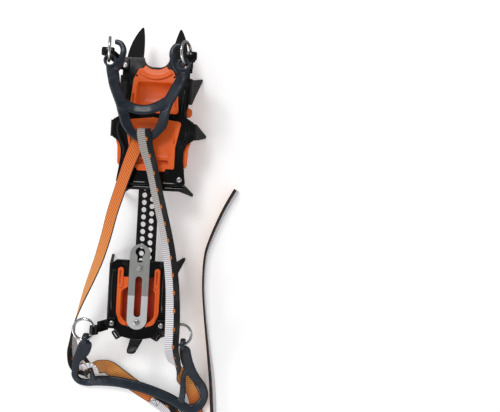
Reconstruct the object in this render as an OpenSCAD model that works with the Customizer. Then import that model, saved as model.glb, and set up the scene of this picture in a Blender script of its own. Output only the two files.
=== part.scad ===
// Strap crampon for a left boot, laid open as worn out of the packet.
// Frame: +Y to the toe, +X to the inner side of the foot, +Z up, zero on the sole plane.

/* [Steel sheet] */
// Depth of the ground points below the sole plane
point_depth = 48; // [42:1:56]
// Thickness of the frame sheet
sheet = 2.8; // [2:0.1:3.2]
// Fit between neighbouring pieces
fit = 0.4; // [0.3:0.05:0.6]

/* [Front section] */
// Sideways offset of the front section from the heel axis
front_shift = 6.5; // [3:0.5:8]
// Length from the rear edge to the toe notch
front_len = 136; // [132:1:142]
// Width over the ears
ear_width = 99; // [96:1:104]
// Width of the rear end
rear_width = 83; // [81:1:86]
// Width of the toe end
toe_width = 83; // [81:1:86]
// Length of the front points
fang_len = 46; // [38:1:52]
// Droop of the front points
fang_drop = 25; // [10:1:35]
// Half width of the toe notch
notch_half = 14; // [11:0.5:16]
// Outward lean of the side points
side_lean = 9; // [6:0.5:11]

/* [Heel section] */
// Gap between the front section and the heel section
section_gap = 87; // [84:1:96]
// Length of the heel section
heel_len = 90.5; // [88:0.5:94]
// Width of the heel section
heel_width = 71; // [69:1:76]
// Outward lean of the heel points
heel_lean = 13; // [8:0.5:15]
// Height of the heel stop above the sole
stop_height = 25; // [15:1:32]

/* [Linking bar] */
// Width of the bar
bar_width = 23; // [21:0.5:24]
// Thickness of the bar
bar_thick = 3; // [2.5:0.1:3.2]
// Diameter of the length holes
hole_d = 6; // [5.4:0.1:6.4]
// Pitch of the length holes in one row
hole_pitch = 8.45; // [8:0.05:9]
// Distance between the two rows
row_gap = 9.2; // [8.4:0.1:10]
// Holes in each row
hole_count = 12; // [9:1:12]

/* [Adjuster] */
// Width of the leaf spring
spring_width = 23; // [20:0.5:24]
// Length of the leaf spring
spring_len = 98; // [96:0.5:100]
// Thickness of the leaf spring
spring_thick = 1.5; // [1.2:0.1:2]
// Diameter of the locking pin
pin_d = 5; // [4.4:0.1:5.2]

/* [Rings and posts] */
// Wire diameter of the four rings
wire = 3; // [2.6:0.1:3.2]
// Centre line radius of the toe rings
toe_ring_r = 12; // [11.5:0.25:13]
// Centre line radius of the heel rings
heel_ring_r = 11.5; // [11.25:0.25:12]
// Thickness of the post strip
post_thick = 2.4; // [2:0.1:2.8]
// Width of the post strip
post_width = 12; // [10:0.5:13]
// Height of the toe post eyes above the sole
toe_eye_z = 36; // [34:0.5:38]
// Inward lean of the toe rings
ring_lean = 17; // [12:1:18]
// Height of the heel post eyes above the sole
heel_eye_z = 20; // [18:0.5:24]

/* [Cradles and strap] */
// Width of the cradle limbs
limb_width = 11; // [9:0.5:12]
// Thickness of the cradle limbs
limb_thick = 5; // [4:0.25:5.5]
// Width of the webbing
strap_width = 16; // [14:0.5:16]
// Thickness of the webbing
strap_thick = 1.4; // [1:0.1:1.6]
// Wire diameter of the buckle rings
buckle_wire = 3; // [2.6:0.1:3.2]

/* [Hidden] */
toe_half = toe_width / 2;
ear_half = ear_width / 2;
rear_half = rear_width / 2;
heel_half = heel_width / 2;
bar_x = row_gap / 2;
bar_top = -sheet - fit;
heel_front = -section_gap;
heel_rear = heel_front - heel_len;
pin_y = heel_front - 9;
rivet_y = pin_y - 62;
toe_post_x = 44;
toe_post_y = front_len + 3;
toe_ring_x = toe_post_x - toe_ring_r * sin(ring_lean);
toe_ring_z = toe_eye_z + toe_ring_r * cos(ring_lean);
heel_post_y = heel_rear + 13.5;
heel_ring_x = 54;
cradle_shift = 4;
heel_eye_x = heel_ring_x - heel_ring_r;
hinge_y = heel_post_y - heel_ring_r + 1.3;
guide_x = bar_width / 2 + 9.5;
bore_r = wire / 2 + 0.45 + fit;
eye_r = bore_r + post_thick;
floor_z = -point_depth;
buckle_gap = buckle_wire + strap_thick / 2 + 0.4;
$fn = 48;

// Geometry helpers

function unit(v) = v / norm(v);
function three(row, i) = [row[i], row[i + 1], row[i + 2]];
function row(x, y, z, f, w, t) = [x, y, z, f.x, f.y, f.z, w, t];
function turn(a) = a > 180 ? a - 360 : a < -180 ? a + 360 : a;

// Arc that rounds the corner b between a and c
function corner(a, b, c, r, n) =
    let (u = unit(a - b), v = unit(c - b), half = acos(u * v) / 2)
    let (m = b + unit(u + v) * r / sin(half))
    let (p = b + u * r / tan(half) - m, q = b + v * r / tan(half) - m)
    let (s = atan2(p.y, p.x), d = turn(atan2(q.y, q.x) - s))
    [for (i = [0:n]) m + r * [cos(s + d * i / n), sin(s + d * i / n)]];

// Outline whose points carry a corner radius as third value
function rounded(pts, n = 6) = [for (i = [0:len(pts) - 1])
    let (k = len(pts), p = pts[i], a = pts[(i + k - 1) % k], c = pts[(i + 1) % k])
    each p[2] > 0 ? corner([a.x, a.y], [p.x, p.y], [c.x, c.y], p[2], n) : [[p.x, p.y]]];

// Half outline joined to its mirror image
function both(half) = concat(half, [for (i = [len(half) - 1:-1:0]) [-half[i].x, half[i].y, half[i][2]]]);

// Bent edge between three points
function bezier(a, b, c, n) = [for (i = [0:n]) let (t = i / n)
    a * (1 - t) * (1 - t) + b * 2 * t * (1 - t) + c * t * t];

// Smooth curve through rows of numbers
function between(a, b, c, d, t) = 0.5 * (2 * b + (c - a) * t + (2 * a - 5 * b + 4 * c - d) * t * t
    + (3 * b - a - 3 * c + d) * t * t * t);
function smooth(rows, n) = let (k = len(rows) - 1) concat(
    [for (i = [0:k - 1]) for (j = [0:n - 1])
        between(rows[max(i - 1, 0)], rows[i], rows[i + 1], rows[min(i + 2, k)], j / n)],
    [rows[k]]);

// Flat-sided oval with the given number of corners, one unit across each way
function oval(n) = [for (i = [0:n - 1]) let (a = 360 * (i + 0.5) / n)
    [0.5 * sign(cos(a)) * pow(abs(cos(a)), 0.5), 0.5 * sign(sin(a)) * pow(abs(sin(a)), 0.7)]];
function oblong() = [[0.5, 0.5], [-0.5, 0.5], [-0.5, -0.5], [0.5, -0.5]];

// Solid swept along rows of place, face direction, width and thickness
module ribbon(rows, section, n) {
    path = smooth(rows, n);
    k = len(path);
    m = len(section);
    points = [for (i = [0:k - 1])
        let (p = three(path[i], 0))
        let (t = unit(three(path[min(i + 1, k - 1)], 0) - three(path[max(i - 1, 0)], 0)))
        let (f = three(path[i], 3), up = unit(f - t * (f * t)), side = cross(t, up))
        for (c = section) p + side * c.x * path[i][6] + up * c.y * path[i][7]];
    faces = concat(
        [for (i = [0:k - 2]) for (j = [0:m - 1]) let (a = i * m + j, b = i * m + (j + 1) % m)
            each [[a, b, a + m], [b, b + m, a + m]]],
        [for (j = [1:m - 2]) [0, j + 1, j]],
        [for (j = [1:m - 2]) let (e = (k - 1) * m) [e, e + j, e + j + 1]]);
    polyhedron(points, faces);
}

module plate(outline, top, thick) {
    translate([0, 0, top - thick]) linear_extrude(thick) polygon(outline);
}

// Rounded bend along the edge p to q, and what hangs from it, with the outside on the right hand
module bend(p, q) {
    d = q - p;
    translate([p.x, p.y, -sheet]) rotate([0, 0, atan2(d.y, d.x) - 90]) translate([-sheet, 0, 0]) {
        translate([0, -0.2, 0]) rotate([-90, 0, 0]) cylinder(r = sheet - 0.06, h = norm(d) + 0.4);
        children();
    }
}

// Flange bent down along the edge p to q, leaning outward
module flange(p, q, outline, lean) {
    bend(p, q) rotate([0, -lean, 0]) rotate([90, 0, 90]) linear_extrude(sheet) polygon(outline);
}

// Strip of even width along a line of points
function across(pts, i) = let (d = unit(pts[min(i + 1, len(pts) - 1)] - pts[max(i - 1, 0)])) [-d.y, d.x];
function strip(pts, w) = concat([for (i = [0:len(pts) - 1]) pts[i] + across(pts, i) * w / 2],
    [for (i = [len(pts) - 1:-1:0]) pts[i] - across(pts, i) * w / 2]);

// Pressed rib that stands a little above the sheet
module rib(pts, w, rise) {
    translate([0, 0, -sheet / 2]) linear_extrude(sheet / 2 + rise) polygon(strip(pts, w));
}

module rivet(x, y, top, bottom, d) {
    translate([x, y, bottom]) cylinder(d = d, h = top - bottom);
    translate([x, y, top]) cylinder(d1 = d * 1.5, d2 = d * 1.1, h = 1);
    translate([x, y, bottom - 1]) cylinder(d1 = d * 1.1, d2 = d * 1.5, h = 1);
}

module slot(x, y0, y1, w, z, h) {
    translate([x, y0, z]) cylinder(d = w, h = h);
    translate([x, y1, z]) cylinder(d = w, h = h);
    translate([x - w / 2, y0, z]) cube([w, y1 - y0, h]);
}

module ring(r, d) {
    rotate_extrude($fn = 72) translate([r, 0]) circle(d = d, $fn = 24);
}

// Front section

module front_half_points() {
    tip = (point_depth - sheet) / cos(side_lean);
    flange([toe_half, 96], [toe_half, 125], rounded([[0, 0, 0], [29, 0, 0], [30.5, -10, 6],
        [41.2, -tip, 0.8], [38.4, -tip, 0.8], [11, -15, 10], [0, -4, 2]]), side_lean);
    flange([ear_half, 55], [ear_half, 73], rounded([[0, 0, 0], [18, 0, 0], [17, -9, 5],
        [11.6, -tip, 0.8], [8.8, -tip, 0.8], [1, -9, 5]]), side_lean);
}

module front_rear_flange() {
    tip = (point_depth - sheet) / cos(12);
    h = rear_half - 3;
    bend([h, 0], [-h, 0]);
    translate([0, sheet, -sheet]) rotate([-12, 0, 0]) rotate([90, 0, 0])
    linear_extrude(sheet) polygon(rounded(both([[0, 0.5, 0], [h, 0.5, 0], [h + 2, -12, 8],
        [rear_half + 3, -tip, 0.8], [rear_half + 0.2, -tip, 0.8], [rear_half - 16, -17, 9],
        [12, -11, 8], [0, -11, 0]])));
}

module front_frame() {
    x = toe_half - sheet;
    e = ear_half - sheet;
    r = rear_half - sheet;
    color([0.05, 0.05, 0.055]) translate([front_shift, 0, 0]) difference() {
        union() {
            difference() {
                plate(rounded(both([[0, front_len, 0], [notch_half, front_len, 11],
                    [notch_half + 0.5, front_len + 10, 0], [36, front_len + 10, 0],
                    [x, front_len + 10, 4], [x, 93, 4], [37, 88, 4], [37, 80, 5], [e, 74, 2.5],
                    [e, 54, 2.5], [39, 49, 8], [36, 40, 8], [36, 30, 15], [r + 1, sheet, 1]])), 0, sheet);
                plate(rounded(both([[0, 87, 0], [27, 87, 5], [24, front_len - 14, 6],
                    [0, front_len - 14, 0]])), 1, sheet + 2);
                plate(rounded(both([[0, 21, 0], [25, 21, 3], [25, 45, 9], [31, 73, 4],
                    [0, 76, 0]])), 1, sheet + 2);
            }
            for (s = [0, 1]) mirror([s, 0, 0]) {
                front_half_points();
                rib([[33.5, 29], [31, 40], [37, 53], [39.5, 66], [34, 80], [33.5, 92],
                    [34, 116]], 4, 0.8);
                translate([0, front_len + 9.2, -0.15]) rotate([-fang_drop, 0, 0])
                    translate([0, 0, -sheet])
                linear_extrude(sheet) polygon(concat(
                    bezier([34.5, 0], [34, fang_len * 0.6], [23.6, fang_len + 1], 6),
                    bezier([21.6, fang_len + 1], [notch_half + 3, fang_len * 0.6],
                        [notch_half + 2, 0], 6)));
            }
            front_rear_flange();
        }
        for (s = [-1, 1]) translate([s * 33, 8, -9]) cylinder(d = 4.6, h = 12);
        for (s = [-1, 1]) translate([s * 35.5, toe_post_y - 3, -9]) {
            cylinder(d = 4.4, h = 12);
            cylinder(d = 7.4, h = 9 - sheet);
        }
        for (s = [-1, 1], y = [111, 121]) translate([s * (toe_half + 2), y, -15])
            rotate([0, 90, 0]) cylinder(d = 2.6, h = 12, center = true, $fn = 24);
        translate([bar_x - front_shift - bar_width / 2 - 0.8, -12, bar_top - bar_thick - 0.6])
            cube([bar_width + 1.6, 16, bar_thick + 0.6 + fit / 2]);
    }
}

// Channel under the rear plate that traps the head of the bar
module bar_keeper() {
    low = bar_top - bar_thick - fit;
    color([0.06, 0.06, 0.065]) translate([front_shift, 0, 0]) difference() {
        union() {
            translate([-37, 4.5, low - 1.8]) cube([74, 16, 1.8]);
            for (s = [-1, 1]) translate([s * 32.5 - 4.5, 4.5, low - 1]) cube([9, 14, -sheet - low + 1]);
            translate([-37, 18.7, low - 1]) cube([74, 1.8, -sheet - low + 0.8]);
        }
        for (s = [-1, 1]) translate([s * 33, 8, -20]) cylinder(d = 4.6, h = 24);
    }
}

module front_rivets() {
    low = bar_top - bar_thick - fit - 1.8;
    color([0.72, 0.73, 0.74])
    for (s = [-1, 1]) rivet(front_shift + s * 33, 8, 0, low, 4.5);
}

module linking_bar() {
    z = bar_top - bar_thick;
    end_y = pin_y - 11;
    color([0.07, 0.07, 0.075]) difference() {
        union() {
            translate([0, 0, z]) linear_extrude(bar_thick) polygon(rounded([
                [bar_x - bar_width / 2, end_y, 4], [bar_x + bar_width / 2, end_y, 4],
                [bar_x + bar_width / 2, 6, 1.5], [bar_x + 21, 6, 1.5],
                [bar_x + 21, 17, 2], [bar_x - 21, 17, 2], [bar_x - 21, 6, 1.5],
                [bar_x - bar_width / 2, 6, 1.5]]));
        }
        for (i = [0:hole_count - 1]) translate([0, pin_y + i * hole_pitch, z - 1])
            cylinder(d = hole_d, h = bar_thick + 2);
        for (i = [0:hole_count - 1]) translate([row_gap, pin_y + (i + 0.5) * hole_pitch, z - 1])
            cylinder(d = hole_d, h = bar_thick + 2);
    }
}

// Anti-balling plates: a rim on the frame, a pan through the opening and a skirt below
module toe_antibott() {
    f = front_len;
    under = -sheet - fit;
    color([0.88, 0.33, 0.13]) translate([front_shift, 0, 0]) difference() {
        union() {
            plate(rounded(both([[0, 83, 0], [28.5, 83, 4], [25, f - 15, 5], [19, f - 2, 5], [9, f - 3, 5],
                [0, f - 3, 0]])), 1.6 + fit, 1.6);
            plate(rounded(both([[0, 87.5, 0], [26.5, 87.5, 4.5], [23.5, f - 14.5, 5.5],
                [0, f - 14.5, 0]])),
                fit + 0.5, 10.5);
            plate(rounded(both([[0, 81, 0], [43, 81, 4], [43, 90, 3], [35.4, 93, 2], [35.4, 128, 3],
                [30, f - 1, 5], [0, f - 3, 0]])), under, 2.4);
        }
        plate(rounded(both([[0, 90, 0], [22.5, 90, 4], [20.5, f - 17, 5], [0, f - 17, 0]])), 5, 12.6);
        for (s = [-1, 1]) slot(s * 24.6, 92, 103, 2, -1, 4);
        for (s = [-1, 1]) translate([s * 21.6, f - 11, -2]) cylinder(d = 2.4, h = 6, $fn = 24);
    }
}

module ball_antibott() {
    under = -sheet - fit;
    color([0.88, 0.33, 0.13]) translate([front_shift, 0, 0]) difference() {
        union() {
            plate(rounded(both([[0, 16.5, 0], [16, 16.5, 2], [17, 19.5, 1], [26.6, 19.5, 2],
                [26.6, 45, 9],
                [32.5, 74, 3], [0, 78, 0]])), 1.6 + fit, 1.6);
            plate(rounded(both([[0, 21.5, 0], [24.5, 21.5, 2.5], [24.5, 45, 9], [30.4, 72.5, 3.5],
                [0, 75.4, 0]])),
                fit + 0.5, 8.5);
            plate(rounded(both([[0, 21.5, 0], [40, 21.5, 4], [41, 44, 4], [43.4, 52, 4], [43.4, 76, 4],
                [0, 79, 0]])), under, 2.4);
        }
        plate(rounded(both([[0, 32, 0], [20, 32, 3], [20.5, 46, 7], [26, 69, 3], [0, 71.5, 0]])), 5, 9);
        plate(rounded(both([[0, 23.5, 0], [20, 23.5, 2.5], [20, 29.5, 2.5], [0, 29.5, 0]])), 5, 7);
        for (s = [-1, 1]) slot(s * 24.4, 50, 60, 2, -1, 4);
    }
}

// Toe posts, rings and cradle

module toe_post(s) {
    low = [35.5, 0];
    top = [toe_post_x, toe_eye_z];
    d = top - [toe_half - 1, 2];
    w = post_width;
    color([0.05, 0.05, 0.055]) translate([front_shift, toe_post_y, 0]) mirror([s < 0 ? 1 : 0, 0, 0])
    difference() {
        union() {
            translate([31.5, -w / 2 - 2, fit / 2]) cube([toe_half - 31.5, w, post_thick]);
            translate([toe_half - 1, 0, 1.4]) rotate([0, atan2(d.x, d.y), 0]) {
                translate([-post_thick / 2, -w / 2, -1]) cube([post_thick, w, norm(d) + 1]);
                for (z = [9, 16, 23]) translate([post_thick / 2 - 0.2, -w / 2 + 1, z])
                    cube([0.9, w - 2, 2.4]);
            }
            translate([top.x, 4.5, top.y]) rotate([90, 0, 0]) cylinder(r = eye_r, h = 9);
        }
        translate([top.x, 14, top.y + 0.45]) rotate([90, 0, 0]) cylinder(r = bore_r, h = 28);
        translate([low.x, -3, -1]) cylinder(d = 4.4, h = 6);
        for (k = [-1, 1]) translate([top.x - 9, k * (4.5 + w / 2) - w / 2, top.y - eye_r])
            cube([18, w, 2 * eye_r + 4]);
    }
}
module toe_post_left() toe_post(-1);
module toe_post_right() toe_post(1);

module toe_post_rivets() {
    color([0.72, 0.73, 0.74])
    for (s = [-1, 1]) rivet(front_shift + s * 35.5, toe_post_y - 3, fit / 2 + post_thick, -sheet, 4.3);
}

module toe_ring(s) {
    color([0.78, 0.79, 0.8]) translate([front_shift + s * toe_ring_x, toe_post_y, toe_ring_z])
    rotate([0, 90 - s * ring_lean, 0]) ring(toe_ring_r, wire);
}
module toe_ring_left() toe_ring(-1);
module toe_ring_right() toe_ring(1);

// Arms, rear loop, cross bar, ring eyes and front fingers of the toe cradle
module toe_cradle() {
    w = limb_width;
    t = limb_thick;
    y = toe_post_y - toe_ring_r;
    z = toe_ring_z;
    l = front_shift - toe_ring_x;
    r = front_shift + toe_ring_x;
    up = [0, 0.2, 1];
    lf = [0.2, 0.3, 0.9];
    rt = [-0.2, 0.3, 0.9];
    color([0.2, 0.24, 0.3]) difference() {
        union() {
            for (x = [l + 1.7, r - 1.7]) translate([x, y, z - 3]) cylinder(r = 7, h = 6);
            ribbon([row(l + 2.5, y - 3, z - 0.8, up, w, 4.6), row(l + 3, y - 8, z - 4, lf, w + 2, t),
                row(-31, 113, 38, lf, w + 2, t), row(-30.6, 106, 34, lf, w + 1.5, t),
                row(-28.8, 98.6, 29, lf, w + 1.5, t), row(-25.3, 88, 23.6, lf, w + 1.5, t),
                row(-23.2, 78, 19, lf, w + 1.6, t), row(-20.6, 67, 15, up, w + 1, t),
                row(-13.4, 56.4, 11, up, w - 1.4, t), row(-3, 52.4, 9.8, up, w - 1.6, t),
                row(8, 55.2, 11, up, w - 1.4, t), row(18.8, 67, 15, up, w + 0.8, t),
                row(22.4, 80.5, 19.2, rt, w + 1.4, t), row(26.1, 90.9, 24, rt, w + 2.5, t),
                row(33, 102, 29.5, rt, w + 3, t), row(39.1, 111, 35, rt, w + 3, t),
                row(r - 3, y - 8, z - 4, rt, w + 2.5, t), row(r - 2.5, y - 3, z - 0.8, up, w, 4.6)],
                oval(12), 4);
            ribbon([row(-26.5, 89, 24, up, w + 2, t - 0.8), row(-12.5, 83.6, 21.2, up, w + 1, t - 0.8),
                row(0.5, 82.6, 20.6, up, w + 1, t - 0.8), row(13, 86, 21.6, up, w + 1, t - 0.8),
                row(26.5, 92.5, 24.6, up, w + 2, t - 0.8)], oval(12), 4);
            for (s = [0, 1]) translate([front_shift, 0, 0]) mirror([s, 0, 0])
                translate([-toe_ring_x, y, z])
            ribbon([row(7.5, -8, -4, [0.9, 0, 0.3], 6, 6), row(11.5, -1, -1.4, [1, 0, 0], 6, 6.6),
                row(14.6, 8, 0, [1, 0, 0], 6, 6.6), row(14.4, 14, 0, [1, 0.3, 0], 6, 6.4),
                row(11, 19, 0, [0.5, 0.9, 0], 6, 6), row(5.4, 20.2, 0, [-0.1, 1, 0], 6, 5)], oval(10), 3);
        }
        for (x = [l + 1.7, r - 1.7]) translate([x, y, z - 9]) cylinder(r = 4.4, h = 18);
    }
}

// Heel section

module heel_half_points() {
    tip = (point_depth - sheet) / cos(heel_lean);
    rear = (point_depth - sheet) / cos(14);
    a = heel_front - 5;
    b = heel_rear + 22;
    len = a - b;
    flange([heel_half, b], [heel_half, a], rounded([[0, 0, 0], [len, 0, 0], [len + 1, -10, 5],
        [len + 5.6, -tip, 0.8], [len + 2.8, -tip, 0.8], [len - 16, -16, 9], [len - 22, -8, 5],
        [0, -8, 3]]), heel_lean);
    difference() {
        flange([20, heel_rear], [heel_half, heel_rear + 22.5], rounded([[0, 0, 0], [27, 0, 0],
            [26, -7, 3],
            [17, -13, 6], [1, -rear, 0.8], [-1.8, -rear, 0.8], [-1, -9, 4]]), 14);
        translate([heel_half - 7.6, heel_rear + 11, -8.6]) rotate([0, 0, -55])
            cube([9, 12, 4], center = true);
    }
}

module heel_frame() {
    x = heel_half - sheet;
    color([0.05, 0.05, 0.055]) difference() {
        union() {
            difference() {
                plate(rounded(both([[0, heel_front, 0], [27, heel_front, 3], [x, heel_front - 5, 1],
                    [x, heel_rear + 22, 1], [18.6, heel_rear + 2.4, 1], [7, heel_rear, 0],
                    [0, heel_rear, 0]])), 0, sheet);
                plate(rounded(both([[0, heel_front - 19, 0], [25, heel_front - 19, 5],
                    [25, heel_rear + 13, 20], [0, heel_rear + 13, 0]])), 1, sheet + 2);
            }
            translate([-9.5, heel_rear + 10, -sheet]) cube([19, rivet_y + 7 - heel_rear - 10, sheet]);
            for (s = [0, 1]) mirror([s, 0, 0]) {
                heel_half_points();
                rib([[29, heel_front - 12], [29, heel_rear + 32]], 3.6, 0.7);
            }
            translate([-6, heel_rear - 1.5, -sheet]) cube([12, 3, sheet]);
            translate([0, heel_rear + 0.6, -sheet]) rotate([16, 0, 0]) rotate([90, 0, 0])
                linear_extrude(sheet)
                polygon(rounded([[-7, 0, 0], [7, 0, 0], [4.5, stop_height + 3, 4],
                    [-4.5, stop_height + 3, 4]]));
        }
        translate([0, pin_y, -9]) cylinder(d = pin_d + 1.4, h = 12);
        translate([0, rivet_y, -9]) cylinder(d = 5.1, h = 12);
        for (s = [-1, 1]) translate([s * 28.5, heel_post_y + 4, -9]) {
            cylinder(d = 4.4, h = 12);
            cylinder(d = 7.4, h = 9 - sheet);
        }
        for (s = [-1, 1]) translate([bar_x + s * guide_x, heel_front - 4, -9]) cylinder(d = 4.1, h = 12);
    }
}

// Channel under the heel cross bar that the linking bar slides in
module bar_guide() {
    low = bar_top - bar_thick - fit;
    color([0.06, 0.06, 0.065]) difference() {
        union() {
            translate([bar_x - guide_x - 4, heel_front - 14, low - 1.8]) cube([2 * guide_x + 8, 13, 1.8]);
            for (s = [-1, 1]) translate([bar_x + s * guide_x - 4, heel_front - 14, low - 1])
                cube([8, 13, -sheet - low + 1]);
        }
        for (s = [-1, 1]) translate([bar_x + s * guide_x, heel_front - 4, -20]) cylinder(d = 4.1, h = 24);
        translate([0, pin_y, -20]) cylinder(d = pin_d + 1.4, h = 24);
    }
}

module guide_rivets() {
    low = bar_top - bar_thick - fit - 1.8;
    color([0.3, 0.3, 0.31])
    for (s = [-1, 1]) rivet(bar_x + s * guide_x, heel_front - 4, 0, low, 4);
}

module heel_antibott() {
    under = -sheet - fit;
    back = heel_rear + 13;
    color([0.88, 0.33, 0.13]) difference() {
        union() {
            for (s = [-1, 1]) translate([s * 21 - 3.2, heel_front - 31, fit]) cube([6.4, 22.5, 1.5]);
            plate(rounded(both([[0, heel_front - 19.5, 0], [24.5, heel_front - 19.5, 4.5],
                [24.5, back + 0.5, 19.5],
                [0, back + 0.5, 0]])), fit + 0.5, 11.5);
            plate(rounded(both([[0, heel_front - 21, 0], [29.4, heel_front - 21, 3],
                [29.4, back + 14, 10],
                [22, back + 4, 4], [0, back + 4, 0]])), under, 2.2);
        }
        plate(rounded(both([[0, heel_front - 31, 0], [20.5, heel_front - 31, 3], [20.5, back + 3.5, 17],
            [0, back + 3.5, 0]])), 5, 13.6);
        translate([-10.2, back - 4, -sheet - 1.5]) cube([20.4, rivet_y + 8 - back + 4, 9]);
        translate([-spring_width / 2 - 0.5, back - 4, -0.2]) cube([spring_width + 1, heel_len, 9]);
        translate([bar_x - bar_width / 2 - 2, heel_front - 36, bar_top - bar_thick - 1.2])
            cube([bar_width + 4, 36, 16]);
        for (s = [-1, 1]) slot(s * 21, heel_front - 26, heel_front - 13, 2, -1, 4);
    }
}

// Leaf spring with keyhole and long slot
module adjuster_spring() {
    r = spring_width / 2;
    front = pin_y + 28;
    color([0.74, 0.75, 0.76]) difference() {
        slot(0, front - spring_len + r, front - r, spring_width, fit / 2, spring_thick);
        translate([0, pin_y + 19, -1]) cylinder(d = 11, h = 5);
        translate([-3, pin_y + 7, -1]) cube([6, 12, 5]);
        slot(0, pin_y - 52, pin_y - 13, 8, -1, 5);
        translate([0, pin_y, -1]) cylinder(d = pin_d - 0.6, h = 5);
        translate([0, rivet_y, -1]) cylinder(d = 5.1, h = 5);
    }
}

// Locking pin riveted into the spring, reaching through the bar
module adjuster_pin() {
    top = fit / 2 + spring_thick;
    low = bar_top - bar_thick - 0.2;
    color([0.7, 0.71, 0.72]) translate([0, pin_y, 0]) {
        translate([0, 0, low + 0.8]) cylinder(d = pin_d, h = fit / 2 - low - 0.8);
        translate([0, 0, low]) cylinder(d1 = pin_d - 1.2, d2 = pin_d, h = 0.8);
        cylinder(d = pin_d - 0.7, h = top);
        translate([0, 0, top]) cylinder(d1 = pin_d + 1.6, d2 = pin_d, h = 0.9);
    }
}

module spring_rivet() {
    color([0.72, 0.73, 0.74]) rivet(0, rivet_y, fit / 2 + spring_thick, -sheet, 5);
}

module heel_post(s) {
    top = [heel_eye_x, heel_eye_z];
    base = [heel_half - 2, 2];
    d = top - base;
    w = post_width;
    color([0.05, 0.05, 0.055]) translate([0, heel_post_y, 0]) mirror([s < 0 ? 1 : 0, 0, 0])
    difference() {
        union() {
            translate([24.5, -w / 2 + 4, fit / 2]) cube([heel_half - 26, w, post_thick]);
            translate([base.x, 0, 1.7]) rotate([0, atan2(d.x, d.y), 0]) {
                translate([-post_thick / 2, -w / 2 + 2, -1]) cube([post_thick, w, norm(d) + 1]);
                for (z = [5, 10]) translate([post_thick / 2 - 0.2, -w / 2 + 3, z]) cube([0.9, w - 2, 2]);
            }
            translate([top.x, 4.5, top.y]) rotate([90, 0, 0]) cylinder(r = eye_r, h = 9);
        }
        translate([top.x + 0.45, 24, top.y]) rotate([90, 0, 0]) cylinder(r = bore_r, h = 48);
        translate([28.5, 4, -1]) cylinder(d = 4.4, h = 6);
        for (k = [-1, 1]) translate([top.x - eye_r - 0.5, k * (4.5 + w / 2) - w / 2, top.y - eye_r - 1])
            cube([18, w, 2 * eye_r + 4]);
    }
}
module heel_post_left() heel_post(-1);
module heel_post_right() heel_post(1);

module heel_post_rivets() {
    color([0.72, 0.73, 0.74])
    for (s = [-1, 1]) rivet(s * 28.5, heel_post_y + 4, fit / 2 + post_thick, -sheet, 4.3);
}

module heel_ring(s) {
    color([0.78, 0.79, 0.8])
        translate([s * heel_ring_x, heel_post_y, heel_eye_z]) ring(heel_ring_r, wire);
}
module heel_ring_left() heel_ring(-1);
module heel_ring_right() heel_ring(1);

// Sleeves, arms, corner loops and band of the heel cradle
module heel_cradle() {
    w = limb_width;
    t = limb_thick;
    y = hinge_y;
    z = heel_eye_z;
    l = cradle_shift - heel_ring_x;
    r = cradle_shift + heel_ring_x;
    g = floor_z + 4;
    back = [0, -0.65, 0.75];
    color([0.2, 0.24, 0.3]) difference() {
        union() {
            for (x = [l, r]) translate([x - 4, y, z]) rotate([0, 90, 0]) cylinder(r = 6.2, h = 5.5);
            ribbon([row(l, y - 4.2, z - 1.6, back, w - 1, t - 1),
            row(l - 3.6, y - 9, z - 8, back, w + 4, t),
                row(l - 10.5, y - 22, z - 20, back, w + 4.4, t),
                row(-71.2, -210.6, -13.4, back, w - 1.4, t),
                row(-77, -226, -28, back, w - 2.4, t),
                row(-80.4, -237, g + 6.6, [0, -0.4, 0.9], w - 3, t),
                row(-76, -245, g + 1.8, [0, 0, 1], w - 3, t),
                row(-65, -246.6, g + 1.5, [0, 0, 1], w - 2, t),
                row(-52.9, -243, g + 3.5, [0, 0, 1], w + 1.4, t),
                row(-31.5, -242, g + 5.6, [0, 0, 1], w + 1.8, t),
                row(-12.7, -244.4, g + 6, [0, 0, 1], w + 1.8, t),
                row(6, -248.3, g + 6, [0, 0, 1], w + 1.6, t),
                row(24.7, -254.4, g + 5.2, [0, 0, 1], w + 1.4, t),
                row(39.7, -260.7, g + 4, [0, 0, 1], w + 1, t), row(51, -268, g + 3, [0, 0, 1], w + 1, t),
                row(62.5, -272, g + 2.8, [0, 0, 1], w + 0.6, t),
                row(73.6, -266.8, g + 3.2, [0, 0, 1], w + 0.4, t),
                row(79.5, -254, g + 6, [0, -0.1, 1], w - 1, t),
                row(76.5, -240, g + 12, [0, -0.4, 0.9], w, t),
                row(69, -226, g + 22.5, back, w + 1.5, t), row(63, -211, g + 35.5, back, w + 3, t),
                row(59.6, -196, z - 17, back, w + 3, t), row(r + 0.4, y - 9, z - 8, back, w + 2, t),
                row(r, y - 4.2, z - 1.6, back, w - 1, t - 1)], oval(12), 4);
            ribbon([row(-62.6, -203, -7.5, back, 6, 4), row(-60, -215, -21, back, 5, 3.6),
                row(-59.4, -228, -33, back, 5, 3.6),
                row(-59, -242, g + 3.6, [0, -0.4, 0.9], 8, 4)], oval(10), 3);
            ribbon([row(61, -206, -4.5, back, 6, 4), row(55.6, -222, -15, back, 6, 4),
                row(54, -237, -27, back, 7, 4), row(53, -251, -36, back, 8, 4),
                row(51, -264, g + 3.4, [0, -0.2, 1], 9, 4)], oval(10), 3);
        }
        for (x = [l, r]) translate([x - 9, y, z]) rotate([0, 90, 0]) cylinder(r = 3.2, h = 18);
    }
}

// Webbing from the sewn end at the buckle, round both cradles and back to the free tail

function lay(x, y, z, f) = row(x, y, z, f, strap_width, strap_thick);
function sewn(s, z, f) = lay(43 + 0.66 * s, -284 - 0.75 * s, z, f);

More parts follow.
